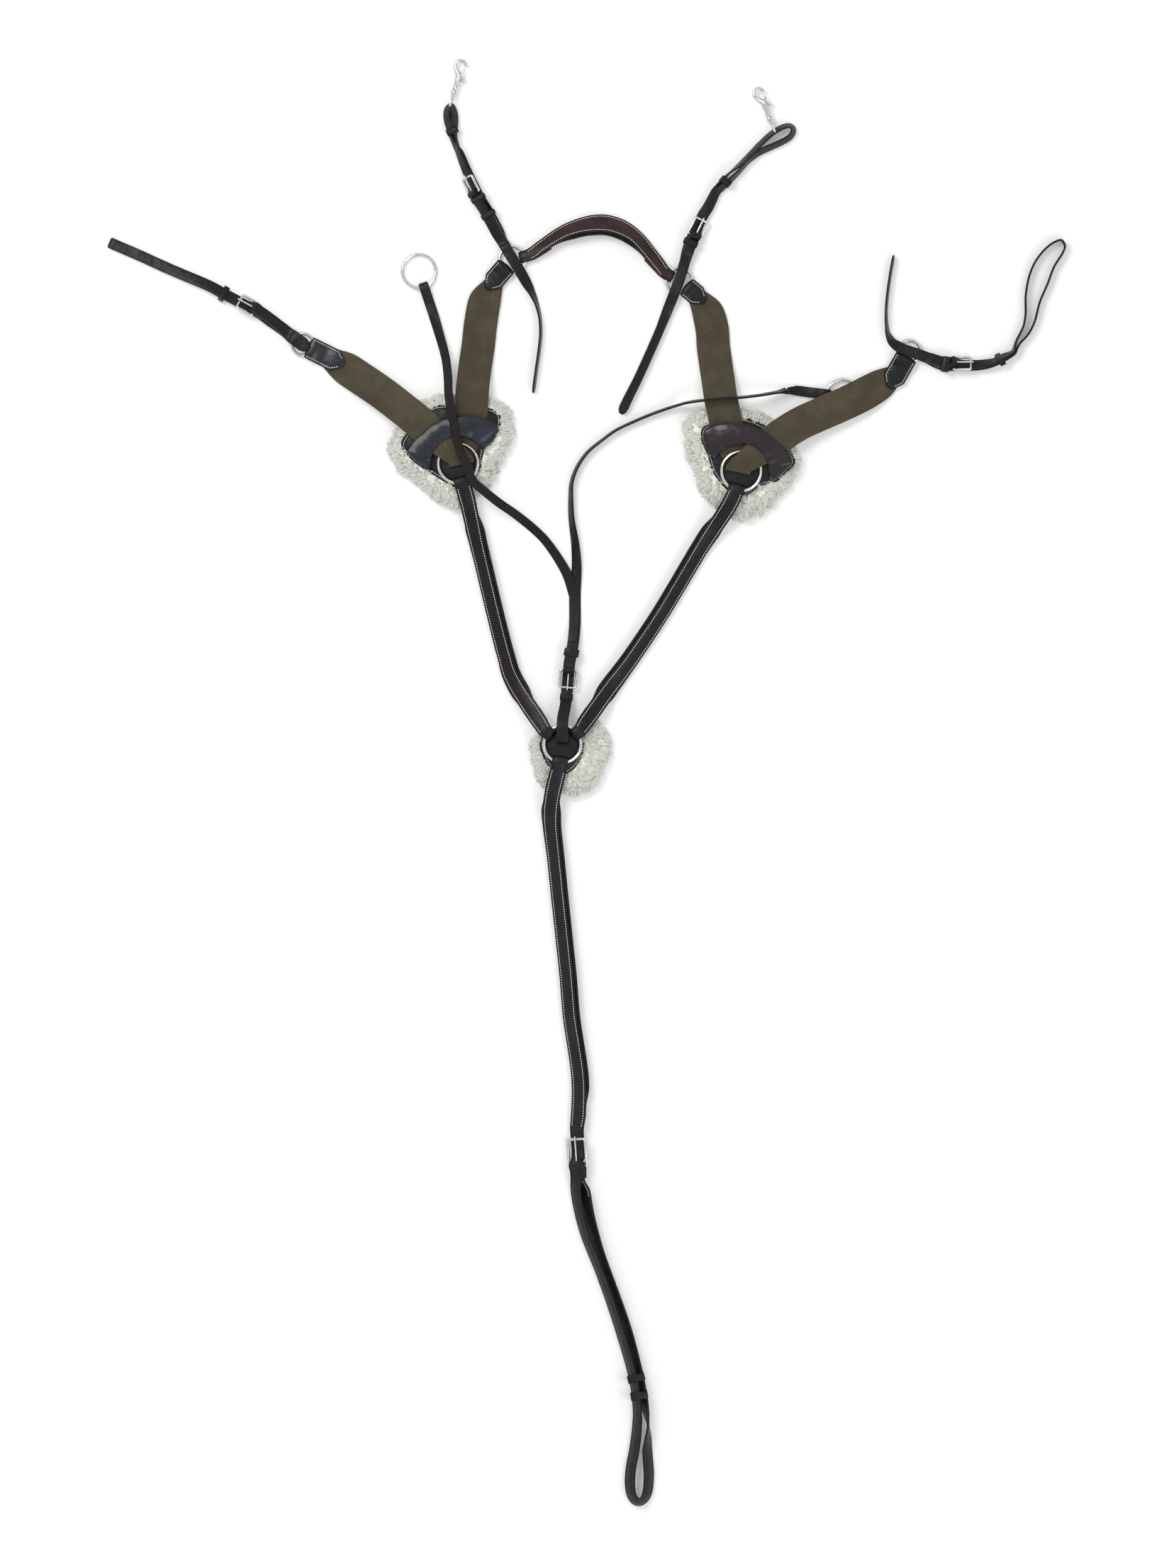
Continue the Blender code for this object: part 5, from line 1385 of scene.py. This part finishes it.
def plate_point(point, middle, inset, rise, seed):
    """Where the plate lies, millimetres in from a point of its rim, with its droop and its waves."""
    spoke = point - middle
    co = middle + spoke.normalized() * max(spoke.length - inset * MM, 1.5 * MM)
    droop = PLATE_DROOP * max(0.0, 1 - inset / DROOP_WIDTH) ** 2
    wave = 0.5 * noise.noise(Vector((point.x / WAVE_LENGTH, point.y / WAVE_LENGTH, seed)))
    co.z = point.z + (rise - droop + wave * max(0.0, 1 - inset / WAVE_WIDTH)) * MM
    return co


def plate(node, seed):
    """A plate, and the row of its stitches."""
    rim, middle = outline_of(node, 3)
    bm, place = tube_grid(len(PLATE_RINGS), len(rim))
    edge = bm.verts.layers.float["edge"]
    for row, (inset, rise) in enumerate(PLATE_RINGS):
        for column in range(len(rim) + 1):
            vert = place[row, column]
            vert.co = plate_point(rim[column % len(rim)], middle, inset, rise, seed)
            vert[edge] = 1.0 if inset < 0.9 and rise < -0.2 else 0.0
    close_tube(bm)
    return bm, [(plate_point(point, middle, ROW_INSET, 0.02, seed), UP) for point in rim + rim[:1]]


for number, pad in enumerate(("left_side_pad", "right_side_pad", "chest_pad")):
    bm, stitch_row = plate(pad + "_leather", number)
    new_piece(pad + "_plate", bm, black_bridle, "root", [pad + "_leather"])
    stitched(pad + "_plate_stitches", "root", [stitch_row])

# %% [markdown]
# ## Sheepskin
#
# The pads are shorn sheepskin with the wool combed out round the edge. The body of each pad is a copy of
# its solid, drawn in, remeshed and puffed up a little by the cloth simulation. On it grow some thousand
# tufts: each is twelve thin fibres that curve outward and a little to one side, and whose colour is painted
# darker at their roots, as shade.

# %% The body of a pad
DRAW_IN = 2.6
VOXEL = 4.5 * MM
PUFF_STEPS = 20
PUFF_LIMIT = 6 * MM
LUMPS = ((3.0, 15 * MM), (1.1, 5 * MM))
FLOOR_LEVEL = 0.4 * MM


def apply_modifiers(obj):
    """Puts the modifiers' result in the mesh, so that none is left."""
    graph = bpy.context.evaluated_depsgraph_get()
    graph.update()
    mesh = bpy.data.meshes.new_from_object(obj.evaluated_get(graph))
    obj.modifiers.clear()
    obj.data = mesh


def drawn_in(node):
    """The solid as an object of its own, drawn in and remeshed evenly."""
    bm = merged_copy(node)
    bmesh.ops.recalc_face_normals(bm, faces=bm.faces)
    for vert in bm.verts:
        vert.co -= vert.normal * DRAW_IN * MM
    mesh = bpy.data.meshes.new(node + "_body")
    bm.to_mesh(mesh)
    bm.free()
    body = bpy.data.objects.new(node + "_body", mesh)
    bpy.context.scene.collection.objects.link(body)
    bpy.context.view_layer.objects.active = body
    remesh = body.modifiers.new("Remesh", "REMESH")
    remesh.mode = "VOXEL"
    remesh.voxel_size = VOXEL
    apply_modifiers(body)
    return body


# %% Puffing a pad
def puffed(body):
    """Blows the body up as a closed cloth, and holds every point within a limit of its rest."""
    rest = [v.co.copy() for v in body.data.vertices]
    cloth = body.modifiers.new("Cloth", "CLOTH")
    cloth.settings.use_pressure = True
    cloth.settings.uniform_pressure_force = 4
    cloth.settings.effector_weights.gravity = 0
    for step in range(1, PUFF_STEPS + 1):
        bpy.context.scene.frame_set(step)
    apply_modifiers(body)
    for vert, start in zip(body.data.vertices, rest):
        moved = vert.co - start
        if moved.length > PUFF_LIMIT:
            vert.co = start + moved.normalized() * PUFF_LIMIT
    bpy.context.scene.frame_set(1)


# %% The soft body
def fleece_body(node, plate_node):
    """The pad's soft, lumpy body, which stays under its plate and above the floor."""
    rim, middle = outline_of(plate_node, 3)
    plate_reach = by_sector(rim, middle)
    plate_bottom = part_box(plate_node)[0].z
    body = drawn_in(node)
    puffed(body)
    smooth = body.modifiers.new("Subdivision", "SUBSURF")
    smooth.levels = smooth.render_levels = 1
    apply_modifiers(body)
    normals = [v.normal.copy() for v in body.data.vertices]
    for vert, normal in zip(body.data.vertices, normals):
        vert.co += normal * sum(high * noise.noise(vert.co / wide) for high, wide in LUMPS) * MM
        spoke = vert.co - middle
        outside = spoke.xy.length - plate_reach.get(sector(spoke.x, spoke.y), 50 * MM)
        ceiling = plate_bottom - 0.4 * MM + 4 * MM * eased(outside, -2 * MM, 12 * MM)
        vert.co.z = min(max(vert.co.z, FLOOR_LEVEL), ceiling)
    return body


# %% One tuft of wool
FIBRE_ROWS = 3
FIBRES = 12
GOLDEN_TURN = 2.4
SECTORS_PER_RADIAN = 9.55


def tuft_template(seed):
    """A dozen thin fibres that stand together, each bent its own way, along z from 0 to 1."""
    fibre = bmesh.new()
    middle = Matrix.Translation((0, 0, 0.5))
    bmesh.ops.create_cone(
        fibre, cap_ends=True, segments=3, radius1=0.12, radius2=0.03, depth=1.0, matrix=middle
    )
    long_edges = [e for e in fibre.edges if abs(e.verts[0].co.z - e.verts[1].co.z) > 0.5]
    bmesh.ops.subdivide_edges(fibre, edges=long_edges, cuts=FIBRE_ROWS - 1, use_grid_fill=True)
    one = bpy.data.meshes.new("fibre")
    fibre.to_mesh(one)
    fibre.free()
    draw = random.Random(seed)
    tuft = bmesh.new()
    for k in range(FIBRES):
        first = len(tuft.verts)
        tuft.from_mesh(one)
        tuft.verts.ensure_lookup_table()
        spread = 0.45 * math.sqrt((k + 0.5) / FIBRES)
        x, y = spread * math.cos(GOLDEN_TURN * k + seed), spread * math.sin(GOLDEN_TURN * k + seed)
        reach = draw.uniform(0.6, 1.0)
        turn_x, turn_y = draw.uniform(-0.35, 0.35), draw.uniform(-0.35, 0.35)
        for vert in tuft.verts[first:]:
            t = vert.co.z
            vert.co.x += x * (1 - 0.3 * t) + turn_x * t * t
            vert.co.y += y * (1 - 0.3 * t) + turn_y * t * t
            vert.co.z = t * reach
    mesh = bpy.data.meshes.new("tuft")
    tuft.to_mesh(mesh)
    tuft.free()
    return mesh, [v.co.copy() for v in mesh.vertices]


TUFTS = [tuft_template(seed) for seed in (1, 2, 3)]
print("points in a tuft:", len(TUFTS[0][1]))


def add_tuft(bm, kind, root, way, sag, width, length, curl, layer):
    """One curved, crimped tuft from its root along a way."""
    mesh, points = TUFTS[kind]
    first = len(bm.verts)
    bm.from_mesh(mesh)
    bm.verts.ensure_lookup_table()
    side = way.cross(UP).normalized()
    lift = way.cross(side)
    for k, at in enumerate(points):
        t = at.z
        full = width * (0.8 + 0.9 * t - 1.0 * t * t)
        bend = side * curl * length * t * t + UP * sag * length * t * t
        crimp = side * math.sin(t * 5 + curl * 40) * width * 0.08
        co = root + way * length * t + bend + crimp + side * at.x * full * 2.0 + lift * at.y * full * 1.5
        co.z = max(co.z, FLOOR_LEVEL)
        vert = bm.verts[first + k]
        vert.co = co
        # The share from root to tip, which paints the wool darker towards the root, as shade.
        vert[layer] = t


# %% The wool of a pad
UNDER_PLATE = 5 * MM
CLUMP = 8 * MM
LOCK = 14 * MM
BURIED = 1.2
SHORTEST = 4.0 * MM
UNDERSIDE_BAND = 5 * MM


def grow_wool(body, node, plate_node, count, seed):
    """Tufts over the pad's side, round its rim and underneath. Neighbours lean the same way, in clumps."""
    draw = random.Random(seed)
    rim, middle = outline_of(plate_node, 3)
    plate_reach = by_sector(rim, middle)
    wool_reach = by_sector(outline_of(node, 4, 7 * MM, 11 * MM)[0], middle)
    bm = bmesh.new()
    bm.from_mesh(body.data)
    layer = bm.verts.layers.float.new("root_shade_share")
    # The body under the tufts is painted as dark as the lower part of a tuft: painted shade between the tufts.
    for vert in bm.verts:
        vert[layer] = 0.3
    faces = [(p.center.copy(), p.normal.copy(), p.area) for p in body.data.polygons]
    shares = list(itertools.accumulate(area for _, _, area in faces))
    grown = 0
    while grown < count:
        centre, normal, _ = faces[bisect.bisect(shares, draw.random() * shares[-1])]
        spoke = Vector((centre.x - middle.x, centre.y - middle.y, 0))
        far = spoke.length
        key = sector(spoke.x, spoke.y)
        hidden = far < plate_reach.get(key, far) - UNDER_PLATE
        if hidden and (normal.z > 0.2 or draw.random() < 0.4):
            continue
        clump = noise.noise(Vector((centre.x, centre.y, centre.z * 0.5 + seed)) / CLUMP)
        out = Matrix.Rotation(clump * 1.1 + draw.uniform(-0.12, 0.12), 3, "Z") @ spoke.normalized()
        if normal.z > -0.2:
            rise = 0.12 + 0.5 * max(0.0, normal.z) * draw.random()
        else:
            rise = -draw.uniform(0.05, 0.3)
        way = (out + UP * rise).normalized()
        root = centre - normal * BURIED * MM + Vector((draw.uniform(-1.5, 1.5), draw.uniform(-1.5, 1.5), 0)) * MM
        turn = key / SECTORS_PER_RADIAN
        spot = Vector((math.cos(turn), math.sin(turn), 0)) * far / LOCK
        lump = noise.noise(spot + Vector((seed, 0, 0)))
        room = wool_reach.get(key, far) + draw.uniform(-1.2, 0.4) * MM + (clump * 4.0 + lump * 4.5) * MM - far
        length = min(draw.uniform(7, 13) * MM, room / max(0.35, way.dot(spoke.normalized())))
        if length < SHORTEST:
            length = draw.uniform(3.0, 5.0) * MM
        width = draw.uniform(2.3, 4.0) * MM
        kind = draw.randrange(len(TUFTS))
        sag, curl = draw.uniform(-0.3, 0.05), draw.uniform(-0.22, 0.22)
        add_tuft(bm, kind, root, way, sag, width, length, curl, layer)
        grown += 1
    return bm


# %% Under the girth strap
def flatten_under_girth(bm):
    """Presses the chest pad's wool down where the girth strap swings over it."""
    layers = [bpy.data.objects[name] for name in ("girth_strap_leather", "girth_strap_lining_roll")]
    strap = [v.co for piece in layers for v in piece.data.vertices if -0.12 < v.co.y < -0.03]
    middle = sum(co.x for co in strap) / len(strap)
    underside = {}
    for co in strap:
        band = round(co.y / UNDERSIDE_BAND)
        underside[band] = min(underside.get(band, 1.0), co.z - 0.4 * MM)
    pressed = 0
    for vert in bm.verts:
        band = round(vert.co.y / UNDERSIDE_BAND)
        if band in underside and abs(vert.co.x - middle) < 0.045 and vert.co.z > underside[band]:
            vert.co.z = max(0.5 * MM, underside[band] - 0.6 * MM * abs(noise.noise(vert.co / (4 * MM))))
            pressed += 1
    print("under the girth strap:", len(underside), "bands and", pressed, "points of wool pressed down")


# %% The three pads
TUFT_COUNTS = {"left_side_pad": 1900, "right_side_pad": 1900, "chest_pad": 1300}
for number, (pad, count) in enumerate(TUFT_COUNTS.items()):
    node = pad + "_sheepskin"
    body = fleece_body(node, pad + "_leather")
    bm = grow_wool(body, node, pad + "_leather", count // (1), number + 7)
    if pad == "chest_pad":
        flatten_under_girth(bm)
    bpy.data.objects.remove(body)
    piece = new_piece(pad + "_wool", bm, sheep_wool, "root", [node])
    print(piece.name, len(piece.data.polygons), "faces")

# %% [markdown]
# ## Floor, light and camera
#
# The breastplate lies on a white table under two large soft lamps. The camera hangs straight above it, far
# away, so that it is seen as on a flat drawing. The floor looks white to the camera and in the metal, and
# still takes the shadow.

# %% The floor
def seen_rays(material):
    """1 for rays that look at a thing, straight or in metal or glass, and 0 for the light that it gives."""
    seen = add_node(material, "ShaderNodeLightPath")
    rays = maths(material, "ADD", seen.outputs["Is Camera Ray"], seen.outputs["Is Glossy Ray"], True)
    return maths(material, "ADD", rays, seen.outputs["Is Transmission Ray"], True)


GLOW = 0.2
floor_paper, shader = new_material("matt_white_paper", 0.9)
shader.inputs["Base Color"].default_value = linear("#f2f2f1")
shader.inputs["Emission Color"].default_value = (1, 1, 1, 1)
strength = maths(floor_paper, "MULTIPLY", seen_rays(floor_paper), GLOW)
join(floor_paper, strength, shader.inputs["Emission Strength"])
bm = bmesh.new()
bmesh.ops.create_grid(bm, x_segments=1, y_segments=1, size=20.0)
floor = new_piece("floor", bm, floor_paper, smooth=False)

# %% The lamps and the camera
WORLD_LIGHT = 0.6
world = bpy.data.worlds.new("studio")
bpy.context.scene.world = world
world.use_nodes = True
background = world.node_tree.nodes["Background"]
background.inputs["Color"].default_value = (1, 1, 1, 1)
level = add_node(world, "ShaderNodeMapRange", None, Value=seen_rays(world), To_Min=WORLD_LIGHT, To_Max=1.0)
join(world, level.outputs["Result"], background.inputs["Strength"])


def soft_lamp(name, place, target, size, power):
    """A round lamp of a size in metres and a power in watts, turned to its target."""
    lamp = bpy.data.lights.new(name, "AREA")
    lamp.shape = "DISK"
    lamp.size = size
    lamp.energy = power
    made = bpy.data.objects.new(name, lamp)
    made.location = place
    made.rotation_euler = (Vector(target) - Vector(place)).to_track_quat("-Z", "Y").to_euler()
    bpy.context.scene.collection.objects.link(made)


soft_lamp("key_lamp", (-1.1, 1.4, 2.9), (0, 0, 0), 1.4, 40)
soft_lamp("fill_lamp", (1.4, -1.2, 2.6), (0, -0.2, 0), 1.6, 17)
CAMERA_HEIGHT = 12.0
FRAME_TALL = 1.8802
SENSOR = 36
camera_data = bpy.data.cameras.new("camera")
camera_data.sensor_width = SENSOR
camera_data.lens = SENSOR * CAMERA_HEIGHT / FRAME_TALL
camera_data.clip_end = 100
camera = bpy.data.objects.new("camera", camera_data)
camera.location = (0.0306, -0.0476, CAMERA_HEIGHT)
bpy.context.scene.collection.objects.link(camera)
bpy.context.scene.camera = camera
bpy.context.scene.view_settings.view_transform = "Standard"
print("camera lens", round(camera_data.lens, 1), "mm")
